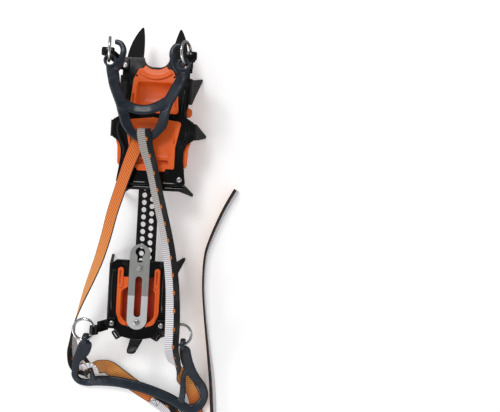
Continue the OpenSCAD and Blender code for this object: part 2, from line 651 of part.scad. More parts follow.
module strap() {
    g = floor_z + 1.2;
    e = floor_z + strap_width / 2 + 0.6;
    h = buckle_gap;
    up = [0, 0, 1];
    down = [0, 0, -1];
    out = [-1, 0, 0];
    color([0.85, 0.4, 0.15]) ribbon([
        lay(14, -262, g + strap_thick + 0.3, down), lay(24.2, -267.8, g + strap_thick + 0.3, down),
        sewn(-12, g + strap_thick + 0.9, down), sewn(-3, g + 2 * h, down), sewn(1.2, g + 2 * h, down),
        sewn(3.7, g + 1.8 * h, [-0.33, 0.37, -0.87]), sewn(4.8, g + h, [-0.66, 0.75, 0]),
        sewn(3.7, g + 0.2 * h, [-0.33, 0.37, 0.87]), sewn(1.2, g, up), sewn(-3, g, up), sewn(-12, g, up),
        lay(24.2, -267.8, g, up), lay(11.3, -260.5, g, up), lay(-7.9, -249.5, g, up),
        lay(-20, -241, g + 1.2, up),
        lay(-31, -233.4, g + 2, [0, 0.05, 1]), lay(-41, -226.6, g + 4.6, [0.25, 0.35, 0.9]),
        lay(-45.6, -222.4, g + 13, [0.8, 0.55, 0.3]), lay(-48, -219.4, g + 25, [0.9, 0.35, -0.3]),
        lay(-54, -216.8, g + 32.6, [0.3, 0.5, -0.8]), lay(-59.8, -218.6, g + 33.4, [0.1, 0.65, -0.75]),
        lay(-64.6, -224, g + 24, [0.9, 0.2, -0.4]), lay(-66, -230, g + 12, [0.9, 0.3, -0.3]),
        lay(-74.4, -230.2, g + 4.6, [0.2, 0.1, -1]), lay(-79.4, -228.8, g + 3.2, [-0.2, 0, -1]),
        lay(-82.6, -222, g + 5.6, [-0.5, 0, -0.85]), lay(-83, -211, g + 12.4, [-0.75, 0, -0.65]),
        lay(-82.2, -197, g + 19.6, [-0.9, 0, -0.4]), lay(-80.4, -184, g + 26, out),
        lay(-76.3, -165, g + 31, [-1, 0, 0.15]),
        lay(-67.3, -139, g + 37.6, [-0.9, 0, 0.4]), lay(-57, -113, g + 43, [-0.75, 0, 0.65]),
        lay(-47.5, -88, g + 47, [-0.6, 0, 0.8]), lay(-39.5, -60, 3.6, [-0.5, 0, 0.87]),
        lay(-33.6, -34, 5.6, [-0.45, 0, 0.9]), lay(-26.2, -7.4, 6.4, [-0.4, 0, 0.92]),
        lay(-18.8, 19, 6, [-0.3, 0, 0.95]), lay(-12.8, 38, 5, [-0.1, 0, 1]), lay(-8, 49.6, 5.4, up),
        lay(-4, 57.4, 5.9, [0.1, -0.3, 0.9]), lay(-1.6, 62.9, 10, [0.1, -1, 0]),
        lay(-0.6, 58.2, 14, [0.1, -0.4, -0.9]), lay(1.2, 50, 14.4, [0, 0.05, -1]),
        lay(4, 38, 13.2, [0.2, 0, -1]),
        lay(9.4, 21, 11, [0.4, 0, -0.9]), lay(16, -5, 9.4, [0.45, 0, -0.9]),
        lay(23, -30, 9.4, [0.45, 0, -0.9]),
        lay(30.6, -57.5, 10.6, [0.4, 0, -0.9]), lay(36.8, -85, 13.4, [0.3, 0, -0.95]),
        lay(41.8, -115, 18.4, [0.2, 0, -1]), lay(44.6, -142, 24.8, down),
        lay(45.4, -158, 27, down), lay(45.4, -171, 27.4, [0, 0.1, -1]),
        lay(45.5, -181, 24.2, [0, 0.4, -0.9]),
        lay(46, -192, 14, [0.1, 0.7, -0.7]), lay(47, -204, 1, [0.4, 0.6, -0.7]),
        lay(47.6, -215, -14, [1, 0.1, -0.1]),
        lay(52.4, -228, -28, [0.7, -0.2, 0.7]), lay(59.6, -241, -36, [0.1, -0.3, 0.9]),
        lay(65, -253, g + 4, [0, -0.35, 0.9]), lay(67.6, -262, g + 0.4, up), lay(69.5, -275, g + 0.4, up),
        lay(72.6, -286.4, g + 3.6, [0.4, 0.1, 0.9]), lay(77, -296.4, e - 0.4, [0.85, 0.4, 0.35]),
        lay(84, -303.5, e, [0.1, 1, 0]), lay(90.3, -298, e, [-0.9, 0.4, 0]), lay(92.5, -285, e, out),
        lay(91, -268, e, out), lay(87.4, -234, e, out), lay(81.6, -197, e, out), lay(74.6, -152, e, out),
        lay(70.9, -117, e, out), lay(71.6, -83, e, [-1, 0.1, 0]), lay(78, -59, e, [-0.9, 0.4, 0.1]),
        lay(91.6, -25, e, [-0.9, 0.4, 0.2]), lay(105, 1, e - 0.5, [-0.8, 0.4, 0.4])],
        oblong(), 3);
}

// D-shaped ring whose straight bar sits in the sewn end of the webbing
module buckle_ring(z) {
    r = strap_width / 2 + 2;
    side = 7;
    color([0.78, 0.79, 0.8]) translate([43, -284, z]) rotate([0, 0, -138.65]) rotate([-5, 0, 0]) {
        translate([-r, 0, 0]) rotate([0, 90, 0]) cylinder(d = buckle_wire, h = 2 * r, $fn = 24);
        for (s = [-1, 1]) translate([s * r, 0, 0]) {
            sphere(d = buckle_wire, $fn = 24);
            rotate([-90, 0, 0]) cylinder(d = buckle_wire, h = side, $fn = 24);
        }
        translate([0, side, 0]) rotate_extrude(angle = 180, $fn = 72) translate([r, 0])
            circle(d = buckle_wire, $fn = 24);
    }
}
module buckle_ring_lower() buckle_ring(floor_z + 1.2 + buckle_gap - buckle_wire / 2 - 0.1);
module buckle_ring_upper() buckle_ring(floor_z + 1.2 + buckle_gap + buckle_wire / 2 + 0.1);

front_frame();
bar_keeper();
front_rivets();
toe_antibott();
ball_antibott();
toe_post_left();
toe_post_right();
toe_post_rivets();
toe_ring_left();
toe_ring_right();
toe_cradle();
linking_bar();
heel_frame();
heel_antibott();
bar_guide();
guide_rivets();
adjuster_spring();
adjuster_pin();
spring_rivet();
heel_post_left();
heel_post_right();
heel_post_rivets();
heel_ring_left();
heel_ring_right();
heel_cradle();
strap();
buckle_ring_lower();
buckle_ring_upper();
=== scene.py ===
"""Dresses the strap crampon: webbing, cradles, plates, pressed frames and fittings, and a plain studio."""

import logging
import math
from dataclasses import dataclass, field, replace
from enum import Enum
from typing import Callable, Dict, List, Optional, Sequence, Tuple, Union

import bmesh
import bpy
from mathutils import Matrix, Vector


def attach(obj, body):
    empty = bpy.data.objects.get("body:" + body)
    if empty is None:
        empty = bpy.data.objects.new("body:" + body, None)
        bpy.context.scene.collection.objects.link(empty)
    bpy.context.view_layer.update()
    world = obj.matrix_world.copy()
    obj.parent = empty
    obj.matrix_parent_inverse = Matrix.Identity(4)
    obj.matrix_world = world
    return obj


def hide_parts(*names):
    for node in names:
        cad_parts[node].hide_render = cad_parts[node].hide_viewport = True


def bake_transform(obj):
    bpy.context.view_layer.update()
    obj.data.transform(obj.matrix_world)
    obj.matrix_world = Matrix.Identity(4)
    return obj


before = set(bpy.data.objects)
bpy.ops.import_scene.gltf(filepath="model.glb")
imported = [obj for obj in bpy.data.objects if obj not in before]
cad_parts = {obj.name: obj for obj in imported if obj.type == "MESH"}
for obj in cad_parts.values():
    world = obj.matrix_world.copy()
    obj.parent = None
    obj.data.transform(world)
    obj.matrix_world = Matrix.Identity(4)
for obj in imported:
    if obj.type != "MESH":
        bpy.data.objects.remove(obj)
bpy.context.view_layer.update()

LOG = logging.getLogger("strap_crampon")
MM = 0.001
SIDES = (("left", -1), ("right", 1))

# Millimetres of the shared frame: the floor, and the middle of the front section
FLOOR_Z = -48.0
FRONT_X = 6.5

Colour = Tuple[float, float, float, float]
Pair = Tuple[float, float]
Pairs = Sequence[Pair]
Triple = Tuple[float, float, float]
Operand = Union["Value", int, float, Sequence[float]]
Setting = Union[str, int, float, bool, Sequence]
Row = Tuple[float, float, float, float, float, float]


def rgb(red: float, green: float, blue: float) -> Colour:
    """Gives a linear colour with full alpha."""
    return (red, green, blue, 1.0)


# Shader graphs


class Value:
    """Output of a shader node, which takes part in sums as a number does."""

    def __init__(self, graph: "Graph", socket: bpy.types.NodeSocket) -> None:
        """Keeps the graph and the socket that the value comes from."""
        self.graph = graph
        self.socket = socket

    def sum(self, operation: str, first: Operand, second: Operand = 0.0) -> "Value":
        """Adds one Math node.

        Args:
            operation: The Math node's operation.
            first: Its first operand.
            second: Its second operand.

        Returns:
            The node's result.
        """
        return self.graph.node("ShaderNodeMath", {"operation": operation}, {0: first, 1: second})

    def __add__(self, other: Operand) -> "Value":
        """Adds."""
        return self.sum("ADD", self, other)

    def __radd__(self, other: Operand) -> "Value":
        """Adds, from the right."""
        return self.sum("ADD", other, self)

    def __sub__(self, other: Operand) -> "Value":
        """Takes away."""
        return self.sum("SUBTRACT", self, other)

    def __rsub__(self, other: Operand) -> "Value":
        """Takes away, from the right."""
        return self.sum("SUBTRACT", other, self)

    def __mul__(self, other: Operand) -> "Value":
        """Multiplies."""
        return self.sum("MULTIPLY", self, other)

    def __rmul__(self, other: Operand) -> "Value":
        """Multiplies, from the right."""
        return self.sum("MULTIPLY", other, self)

    def __truediv__(self, other: Operand) -> "Value":
        """Divides."""
        return self.sum("DIVIDE", self, other)

    def __lt__(self, other: Operand) -> "Value":
        """Gives 1 where this is the smaller."""
        return self.sum("LESS_THAN", self, other)

    def wave(self) -> "Value":
        """Gives a sine of whole turns, from 0 to 1."""
        return self.sum("SINE", self * math.tau) * 0.5 + 0.5

    def part(self) -> "Value":
        """Gives the part after the point."""
        return self.sum("FRACT", self)

    def size(self) -> "Value":
        """Gives the value without its sign."""
        return self.sum("ABSOLUTE", self)

    def rise(self, low: float, high: float) -> "Value":
        """Rises smoothly from 0 to 1.

        Args:
            low: Where it is still 0.
            high: Where it has come to 1.

        Returns:
            The mask.
        """
        return self.graph.node("ShaderNodeMapRange", {"interpolation_type": "SMOOTHSTEP"},
                               {"Value": self, "From Min": low, "From Max": high})


class Graph:
    """Node tree of one material or of the sky."""

    def __init__(self, owner: Union[bpy.types.Material, bpy.types.World]) -> None:
        """Starts an empty tree in its owner.

        Args:
            owner: The material or the world.
        """
        self.owner = owner
        owner.use_nodes = True
        self.tree = owner.node_tree
        self.tree.nodes.clear()

    def node(self, kind: str, settings: Optional[Dict[str, Setting]] = None,
             inputs: Optional[Dict[Union[int, str], Operand]] = None, out: Union[int, str] = 0) -> Value:
        """Adds a node.

        Args:
            kind: The node's type.
            settings: Its own settings, which are set first.
            inputs: Values or links of its sockets.
            out: The output that is wanted.

        Returns:
            That output.
        """
        made = self.tree.nodes.new(kind)
        for name, setting in (settings or {}).items():
            setattr(made, name, setting)
        for key, given in (inputs or {}).items():
            if isinstance(given, Value):
                self.tree.links.new(given.socket, made.inputs[key])
            else:
                made.inputs[key].default_value = given
        return Value(self, made.outputs[out]) if made.outputs else Value(self, made.inputs[0])

    def place(self) -> Value:
        """Gives Object coordinates, in metres of the shared frame."""
        return self.node("ShaderNodeTexCoord", out="Object")

    def axis(self, vector: Value, name: str) -> Value:
        """Gives one coordinate of a vector."""
        return self.node("ShaderNodeSeparateXYZ", {}, {0: vector}, name)

    def stretch(self, vector: Value, scale: Sequence[float], turn: float = 0.0) -> Value:
        """Scales coordinates and turns them about Z."""
        return self.node("ShaderNodeMapping", {},
                         {"Vector": vector, "Scale": scale, "Rotation": (0.0, 0.0, turn)})

    def noise(self, vector: Value, scale: float, detail: float) -> Value:
        """Gives a noise around a half.

        Args:
            vector: The coordinates.
            scale: Cells in a metre.
            detail: How many finer layers it has.

        Returns:
            The noise.
        """
        return self.node("ShaderNodeTexNoise", {},
                         {"Vector": vector, "Scale": scale, "Detail": detail}, "Fac")

    def mix(self, factor: Operand, first: Operand, second: Operand) -> Value:
        """Mixes two colours, the second by the factor."""
        return self.node("ShaderNodeMix", {"data_type": "RGBA"}, {0: factor, 6: first, 7: second}, 2)

    def round_edges(self, radius: float) -> Value:
        """Gives a normal that is rounded over the edges."""
        return self.node("ShaderNodeBevel", {"samples": 6}, {"Radius": radius})

    def edges(self, rounded: Value) -> Value:
        """Gives a mask of the edges that a rounded normal rounds.

        Args:
            rounded: That normal.

        Returns:
            The mask.
        """
        flat = self.node("ShaderNodeNewGeometry", out="Normal")
        same = self.node("ShaderNodeVectorMath", {"operation": "DOT_PRODUCT"}, {0: rounded, 1: flat}, "Value")
        return (1.0 - same).rise(0.01, 0.22)

    def bump(self, height: Value, strength: float, depth: float, normal: Optional[Value] = None) -> Value:
        """Gives a bumped normal.

        Args:
            height: Heights from 0 to 1.
            strength: How much of the bump shows.
            depth: Metres from 0 to 1 of the heights.
            normal: A normal to start from.

        Returns:
            The normal.
        """
        inputs: Dict[Union[int, str], Operand] = {"Height": height, "Strength": strength, "Distance": depth}
        if normal is not None:
            inputs["Normal"] = normal
        return self.node("ShaderNodeBump", {}, inputs)

    def surface(self, inputs: Dict[Union[int, str], Operand]) -> None:
        """Ends the graph in a Principled shader with the given inputs."""
        shader = self.node("ShaderNodeBsdfPrincipled", {}, inputs)
        self.node("ShaderNodeOutputMaterial", {}, {"Surface": shader})


# Finishes


@dataclass(frozen=True)
class Finish:
    """Look of one material."""

    name: str
    colour: Colour
    rough: float

    def material(self) -> bpy.types.Material:
        """Makes the Blender material.

        Returns:
            The material.
        """
        graph = Graph(bpy.data.materials.new(self.name))
        self.shade(graph)
        return graph.owner

    def shade(self, graph: Graph) -> None:
        """Stands for each finish's own graph."""
        raise NotImplementedError


@dataclass(frozen=True)
class Enamel(Finish):
    """Black enamel on pressed steel, worn a little along its edges."""

    wear: float = 0.5
    radius: float = 0.9 * MM
    shine: float = 0.42
    steel: Colour = rgb(0.3, 0.29, 0.28)
    dust: Colour = rgb(0.12, 0.11, 0.1)

    def shade(self, graph: Graph) -> None:
        """Fills the graph.

        Args:
            graph: The material's graph.
        """
        place = graph.place()
        rounded = graph.round_edges(self.radius)
        edge = graph.edges(rounded)
        chips = graph.noise(place, scale=620.0, detail=5.0).rise(0.5, 0.64) * edge * self.wear
        dust = graph.noise(place, scale=90.0, detail=6.0).rise(0.5, 0.8)
        worn = graph.mix(chips, self.colour, self.steel)
        colour = graph.mix(dust * 0.05, worn, self.dust)
        peel = graph.noise(place, scale=1300.0, detail=2.0)
        graph.surface({
            "Base Color": colour,
            "Roughness": dust * 0.12 + chips * 0.2 + (self.rough - 0.03),
            "Metallic": chips * 0.8,
            "Specular IOR Level": self.shine,
            "Normal": graph.bump(peel, strength=0.12, depth=0.06 * MM, normal=rounded),
        })


@dataclass(frozen=True)
class Steel(Finish):
    """Bare steel, drawn or brushed along one direction."""

    grain: Triple = (1.0, 1.0, 1.0)
    marks: float = 0.12
    radius: float = 0.35 * MM
    # Painted reflection: Y in metres behind which the colour turns lighter, and that lighter colour
    sheen_from: float = -10.0
    sheen_colour: Optional[Colour] = None
    bare: float = 1.0

    def shade(self, graph: Graph) -> None:
        """Fills the graph.

        Args:
            graph: The material's graph.
        """
        place = graph.place()
        rounded = graph.round_edges(self.radius)
        lines = graph.noise(graph.stretch(place, self.grain), scale=900.0, detail=3.0)
        cloud = graph.noise(place, scale=110.0, detail=4.0)
        tint = graph.mix(cloud.rise(0.35, 0.75) * 0.35, self.colour,
                         tuple(0.7 * c for c in self.colour[:3]) + (1.0,))
        # Painted reflection: behind that Y the leaf is lighter, standing in for the brighter sky that its
        # tilted rear reflects
        sheen_zone = (graph.axis(place, "Y") < self.sheen_from) * 0.9
        graph.surface({
            "Base Color": graph.mix(sheen_zone, tint, self.sheen_colour or self.colour),
            "Roughness": lines * self.marks + cloud * 0.1 + (self.rough - 0.1),
            "Metallic": self.bare,
            "Normal": graph.bump(lines, strength=0.12, depth=0.03 * MM, normal=rounded),
        })


@dataclass(frozen=True)
class MouldedPlate(Finish):
    """Orange moulded plastic, with painted shade that darkens and reddens its deep pans, and a painted
    highlight along its edges.
    """

    # Painted shade: colour at the bottom of the pans, full at the bottom height and gone at the top height,
    # in millimetres
    recess_shade: Colour = rgb(0.4, 0.022, 0.008)
    # Painted highlight: paler colour along the rounded edges
    edge_highlight: Colour = rgb(0.92, 0.26, 0.085)
    top: float = -2.0
    bottom: float = -13.0
    radius: float = 0.9 * MM
    glow: Triple = (3.0 * MM, 1.2 * MM, 0.6 * MM)

    def shade(self, graph: Graph) -> None:
        """Fills the graph.

        Args:
            graph: The material's graph.
        """
        place = graph.place()
        rounded = graph.round_edges(self.radius)
        edge = graph.edges(rounded)
        # Painted shade: the lower the surface, the more it turns to the darker, redder colour
        height = graph.axis(place, "Z") * (1.0 / MM)
        depth = 1.0 - height.rise(self.bottom, self.top)
        flow = graph.noise(graph.stretch(place, (1.0, 0.3, 1.0)), scale=60.0, detail=3.0)
        tone = graph.mix(depth * 0.85 + (flow - 0.5) * 0.16, self.colour, self.recess_shade)
        # Painted highlight along the edges
        colour = graph.mix(edge * 0.4, tone, self.edge_highlight)
        grain = graph.noise(place, scale=2600.0, detail=2.0)
        graph.surface({
            "Base Color": colour,
            "Roughness": flow * 0.16 + grain * 0.1 + (self.rough - 0.13),
            "Specular IOR Level": 0.32,
            "Subsurface Weight": 0.06,
            "Subsurface Radius": self.glow,
            "Normal": graph.bump(grain, strength=0.16, depth=0.05 * MM, normal=rounded),
        })


@dataclass(frozen=True)
class Elastomer(Finish):
    """Slate moulding with a fine skin and rubbed high places."""

    rubbed: Colour = rgb(0.033, 0.048, 0.074)

    def shade(self, graph: Graph) -> None:
        """Fills the graph.

        Args:
            graph: The material's graph.
        """
        place = graph.place()
        cloud = graph.noise(place, scale=55.0, detail=4.0)
        drawn = graph.stretch(place, (1.0, 0.35, 1.0), turn=0.5)
        scuff = graph.noise(drawn, scale=320.0, detail=4.0).rise(0.58, 0.78)
        colour = graph.mix(scuff * 0.22 + cloud.rise(0.3, 0.8) * 0.18, self.colour, self.rubbed)
        skin = graph.noise(place, scale=2200.0, detail=3.0)
        swell = graph.noise(graph.stretch(place, (1.0, 0.6, 1.0), turn=0.4), scale=95.0, detail=2.0)
        swollen = graph.bump(swell, strength=0.5, depth=1.6 * MM)
        graph.surface({
            "Base Color": colour,
            "Roughness": cloud * 0.2 + skin * 0.08 + (self.rough - 0.14),
            "Specular IOR Level": 0.42,
            "Normal": graph.bump(skin, strength=0.2, depth=0.06 * MM, normal=swollen),
        })


class WebFace(Enum):
    """Sides of the webbing."""

    ORANGE = "orange"
    GREY = "grey"
    EDGE = "edge"


@dataclass(frozen=True)
class Weave(Finish):
    """Woven webbing, drawn on a map of the width across and the length in widths along."""

    face: WebFace = WebFace.ORANGE
    thread: Colour = rgb(0.01, 0.01, 0.012)
    tracer: Colour = rgb(0.66, 0.22, 0.04)
    # Painted shade: colour of the webbing towards the toe, and of the orange face low at the rear
    painted_shade: Colour = rgb(0.84, 0.2, 0.042)
    # Painted shade: colour of the weave's hollows
    hollow_shade: Colour = rgb(0.34, 0.26, 0.22)
    soil: Colour = rgb(0.2, 0.18, 0.16)
    ribs: float = 18.0
    picks: float = 5.4
    slope: float = 4.2
    dash_step: float = 1.22
    dash_share: float = 0.2
    dash_middle: float = 0.6

    def shade(self, graph: Graph) -> None:
        """Fills the graph.

        Args:
            graph: The material's graph.
        """
        spot = graph.node("ShaderNodeUVMap", {"uv_map": "weave"})
        across = graph.axis(spot, "X")
        along = graph.axis(spot, "Y")
        rib = (across * self.ribs).wave()
        twill = (along * self.picks + across * self.slope).wave()
        lift = rib * 0.15 + twill * 0.85
        fuzz = graph.noise(graph.place(), scale=1400.0, detail=3.0)
        soil = graph.noise(graph.place(), scale=45.0, detail=4.0).rise(0.45, 0.8)
        colour = self.pattern(graph, across, along)
        # Painted shade: the low places of the weave are darkened towards that colour
        dark = graph.node("ShaderNodeMix", {"data_type": "RGBA", "blend_type": "MULTIPLY"},
                          {0: 0.8 - lift * 0.86 + fuzz * 0.12, 6: colour, 7: self.hollow_shade}, 2)
        graph.surface({
            "Base Color": graph.mix(soil * 0.1, dark, self.soil),
            "Roughness": fuzz * 0.15 + (self.rough - 0.07),
            "Sheen Weight": 0.12,
            "Specular IOR Level": 0.25,
            "Normal": graph.bump(lift + fuzz * 0.35, strength=0.6, depth=0.16 * MM),
        })

    def pattern(self, graph: Graph, across: Value, along: Value) -> Operand:
        """Lays out the threads of the face, with painted shade towards the toe.

        Args:
            graph: The material's graph.
            across: Width from 0 to 1.
            along: Length, in widths.

        Returns:
            The colour of the threads.
        """
        place = graph.place()
        # Painted shade: darker towards the toe, but not on the tail that hangs low
        painted_shade = graph.axis(place, "Y").rise(-0.17, 0.05) * graph.axis(place, "Z").rise(-0.03, -0.01)
        if self.face is WebFace.ORANGE:
            hem = (across - 0.5).size().rise(0.445, 0.462)
            # Painted shade of the orange face low down at the rear, behind the heel band
            painted_shade = painted_shade + (1.0 - graph.axis(place, "Y").rise(-0.262, -0.235)) * 0.8
            return graph.mix(hem, graph.mix(painted_shade, self.colour, self.painted_shade), self.thread)
        if self.face is WebFace.GREY:
            saw = (along * self.picks).part() * 0.05
            black = (across + saw).rise(0.58, 0.592)
            row = 1.0 - (across - self.dash_middle).size().rise(0.07, 0.085)
            dash = row * ((along / self.dash_step).part() < self.dash_share)
            ground = graph.mix(painted_shade, self.colour, self.painted_shade)
            return graph.mix(dash, graph.mix(black, ground, self.thread), self.tracer)
        return self.thread


class Palette:
    """Finishes of the whole part, each made once."""

    def __init__(self) -> None:
        """Makes every material."""
        looks: List[Finish] = [
            Enamel("gloss_black_enamel", rgb(0.003, 0.003, 0.0033), 0.2, wear=0.1),
            Enamel("satin_black_enamel", rgb(0.005, 0.005, 0.0055), 0.32, wear=0.2, radius=0.5 * MM),
            # The spring steel's lighter rear is a painted reflection of the sky on the leaf's tilted rear
            Steel("brushed_spring_steel", rgb(0.43, 0.435, 0.42), 0.44, grain=(1.0, 0.04, 1.0), marks=0.2,
                  bare=0.72, sheen_from=-0.1274, sheen_colour=rgb(0.88, 0.89, 0.89)),
            Steel("bright_rivet_steel", rgb(0.74, 0.74, 0.74), 0.26),
            Steel("polished_wire_steel", rgb(0.8, 0.81, 0.82), 0.2, marks=0.08),
            # Painted shade in the pans of both mouldings; the heel's is darker and starts higher
            MouldedPlate("orange_moulding", rgb(0.78, 0.12, 0.013), 0.36, top=-4.0),
            MouldedPlate("heel_moulding", rgb(0.76, 0.112, 0.013), 0.34, recess_shade=rgb(0.27, 0.012, 0.006),
                         top=1.2, bottom=-8.0),
            Elastomer("slate_elastomer", rgb(0.0085, 0.0135, 0.0235), 0.34),
            # Lighter copy of the slate elastomer for the heel cradle: painted sheen, standing in for the
            # light that falls on it
            Elastomer("heel_sheen_elastomer", rgb(0.0155, 0.0225, 0.034), 0.34, rubbed=rgb(0.06, 0.078, 0.106)),
            Weave("webbing_orange", rgb(1.0, 0.43, 0.115), 0.85),
            Weave("webbing_grey", rgb(0.92, 0.93, 1.0), 0.85, face=WebFace.GREY, picks=7.0, slope=0.0,
                  painted_shade=rgb(0.42, 0.41, 0.39)),
            Weave("webbing_edge", rgb(0.02, 0.02, 0.022), 0.88, face=WebFace.EDGE),
        ]
        self.made: Dict[str, bpy.types.Material] = {look.name: look.material() for look in looks}

    def __getitem__(self, name: str) -> bpy.types.Material:
        """Gives a material by name."""
        return self.made[name]


# Pieces


def add_piece(name: str, mesh: bpy.types.Mesh, materials: Sequence[bpy.types.Material]) -> bpy.types.Object:
    """Puts a mesh into the scene as a piece.

    Args:
        name: The piece's name.
        mesh: Its mesh, in place.
        materials: Its material slots.

    Returns:
        The piece.
    """
    piece = bpy.data.objects.new(name, mesh)
    bpy.context.scene.collection.objects.link(piece)
    for material in materials:
        mesh.materials.append(material)
    LOG.info("%s: %d faces", name, len(mesh.polygons))
    return piece


def to_mesh(shape: bmesh.types.BMesh, name: str, smooth: bool = True) -> bpy.types.Mesh:
    """Ends a bmesh as a mesh.

    Args:
        shape: The shape, which is freed.
        name: The mesh's name.
        smooth: Whether its faces are shaded smooth.

    Returns:
        The mesh.
    """
    mesh = bpy.data.meshes.new(name)
    for face in shape.faces:
        face.smooth = smooth
    shape.to_mesh(mesh)
    shape.free()
    return mesh


def add_rigid(name: str, shape: bmesh.types.BMesh, material: bpy.types.Material, body: str,
              smooth: bool = True) -> bpy.types.Object:
    """Makes a shape a piece that rides on one body.

    Args:
        name: The piece's name.
        shape: Its shape, which is freed.
        material: Its material.
        body: Body that it rides on.
        smooth: Whether its faces are shaded smooth.

    Returns:
        The piece.
    """
    piece = add_piece(name, to_mesh(shape, name, smooth), [material])
    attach(piece, body)
    return piece


def close_ends(shape: bmesh.types.BMesh) -> None:
    """Fills the open ends of a shape and turns its faces outwards."""
    bmesh.ops.holes_fill(shape, edges=[edge for edge in shape.edges if edge.is_boundary])
    bmesh.ops.recalc_face_normals(shape, faces=shape.faces[:])


def round_off(shape: bmesh.types.BMesh, edges: Sequence[bmesh.types.BMEdge], offset: float,
              segments: int) -> None:
    """Rounds some edges of a shape, by an offset in millimetres."""
    bmesh.ops.bevel(shape, geom=edges, offset=offset * MM, offset_type="OFFSET", segments=segments,
                    profile=0.5, affect="EDGES", material=-1)


def open_rim(shape: bmesh.types.BMesh, rank: bmesh.types.BMLayerItem, step: int) -> List[bmesh.types.BMEdge]:
    """Finds the open edges at one step of a skin, whose corners are ranked by their steps."""
    return [edge for edge in shape.edges if edge.is_boundary and all(v[rank] == step for v in edge.verts)]


@dataclass(frozen=True)
class Spot:
    """Corner of a swept section, with its place on the weave and the slot of the face that follows it."""

    across: float
    up: float
    weave: float = 0.0
    slot: int = 0


@dataclass(frozen=True)
class Station:
    """Place of a section on its way."""

    middle: Vector
    side: Vector
    look: Vector
    along: float = 0.0


def sweep(stations: Sequence[Station], section: Sequence[Spot],
          capped: Tuple[bool, bool]) -> bmesh.types.BMesh:
    """Runs a closed section through stations.

    Args:
        stations: Places along the way, in metres.
        section: Corners of the section, in millimetres, leftwise as seen from the start.
        capped: Whether the first and the last end are closed.

    Returns:
        The shape, with its weave map.
    """
    count, turns = len(stations) - 1, len(section)
    shape = bmesh.new()
    bmesh.ops.create_grid(shape, x_segments=turns, y_segments=count, size=0.5)
    weave = shape.loops.layers.uv.new("weave")
    rank = shape.verts.layers.int.new("rank")
    for face in shape.faces:
        face.material_index = section[int((face.calc_center_median().x + 0.5) * turns)].slot
        for loop in face.loops:
            turn, step = round((loop.vert.co.x + 0.5) * turns), round((loop.vert.co.y + 0.5) * count)
            loop[weave].uv = (section[turn % turns].weave, stations[step].along)
    for vert in shape.verts:
        spot = section[round((vert.co.x + 0.5) * turns) % turns]
        vert[rank] = round((vert.co.y + 0.5) * count)
        station = stations[vert[rank]]
        vert.co = station.middle + (station.side * spot.across + station.look * spot.up) * MM
    bmesh.ops.remove_doubles(shape, verts=shape.verts[:], dist=0.0001 * MM)
    for wanted, step, beyond in ((capped[0], 0, 1), (capped[1], count, count - 1)):
        if wanted:
            lids = bmesh.ops.holes_fill(shape, edges=open_rim(shape, rank, step))["faces"]
            outward = stations[step].middle - stations[beyond].middle
            for lid in lids:
                lid.normal_update()
                lid.material_index = section[-1].slot
            bmesh.ops.reverse_faces(shape, faces=[lid for lid in lids if lid.normal.dot(outward) < 0])
    return shape


def node_shape(node: str) -> bmesh.types.BMesh:
    """Copies a CAD node's surface, with its loose triangles joined.

    Args:
        node: The node's name.

    Returns:
        The copy.
    """
    shape = bmesh.new()
    shape.from_mesh(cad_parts[node].data)
    bmesh.ops.remove_doubles(shape, verts=shape.verts[:], dist=0.002 * MM)
    return shape


def settled(piece: bpy.types.Object) -> None:
    """Applies a piece's modifiers to its mesh.

    Args:
        piece: The piece.
    """
    depsgraph = bpy.context.evaluated_depsgraph_get()
    depsgraph.update()
    mesh = bpy.data.meshes.new_from_object(piece.evaluated_get(depsgraph))
    piece.modifiers.clear()
    piece.data = mesh


# Webbing


class Route:
    """Smooth line of the webbing, with the way that its orange face looks."""

    def __init__(self, rows: Sequence[Row], steps: int) -> None:
        """Runs a curve through rows.

        Args:
            rows: Places, in millimetres, and the way that the orange face looks there.
            steps: Steps from one row to the next.
        """
        last = len(rows) - 1
        self.steps = steps
        self.rows: List[Sequence[float]] = []
        for i in range(last):
            a, b, c, d = rows[max(i - 1, 0)], rows[i], rows[i + 1], rows[min(i + 2, last)]
            self.rows += [self.between(a, b, c, d, j / steps) for j in range(steps)]
        self.rows.append(rows[last])
        self.points = [Vector(row[:3]) * MM for row in self.rows]
        self.lengths = [0.0]
        for a, b in zip(self.points, self.points[1:]):
            self.lengths.append(self.lengths[-1] + (b - a).length)

    @staticmethod
    def between(a: Row, b: Row, c: Row, d: Row, t: float) -> List[float]:
        """Gives a row between b and c."""
        return [0.5 * (2 * q + (r - p) * t + (2 * p - 5 * q + 4 * r - s) * t * t
                       + (3 * q - p - 3 * r + s) * t ** 3) for p, q, r, s in zip(a, b, c, d)]

    def side(self, i: int) -> Tuple[Vector, Vector]:
        """Finds how the webbing lies at a step of the route.

        Args:
            i: The step.

        Returns:
            The way across the webbing, and the way that its orange face looks.
        """
        ahead = self.points[min(i + 1, len(self.points) - 1)] - self.points[max(i - 1, 0)]
        ahead.normalize()
        look = Vector(self.rows[i][3:])
        look = (look - ahead * look.dot(ahead)).normalized()
        return ahead.cross(look), look


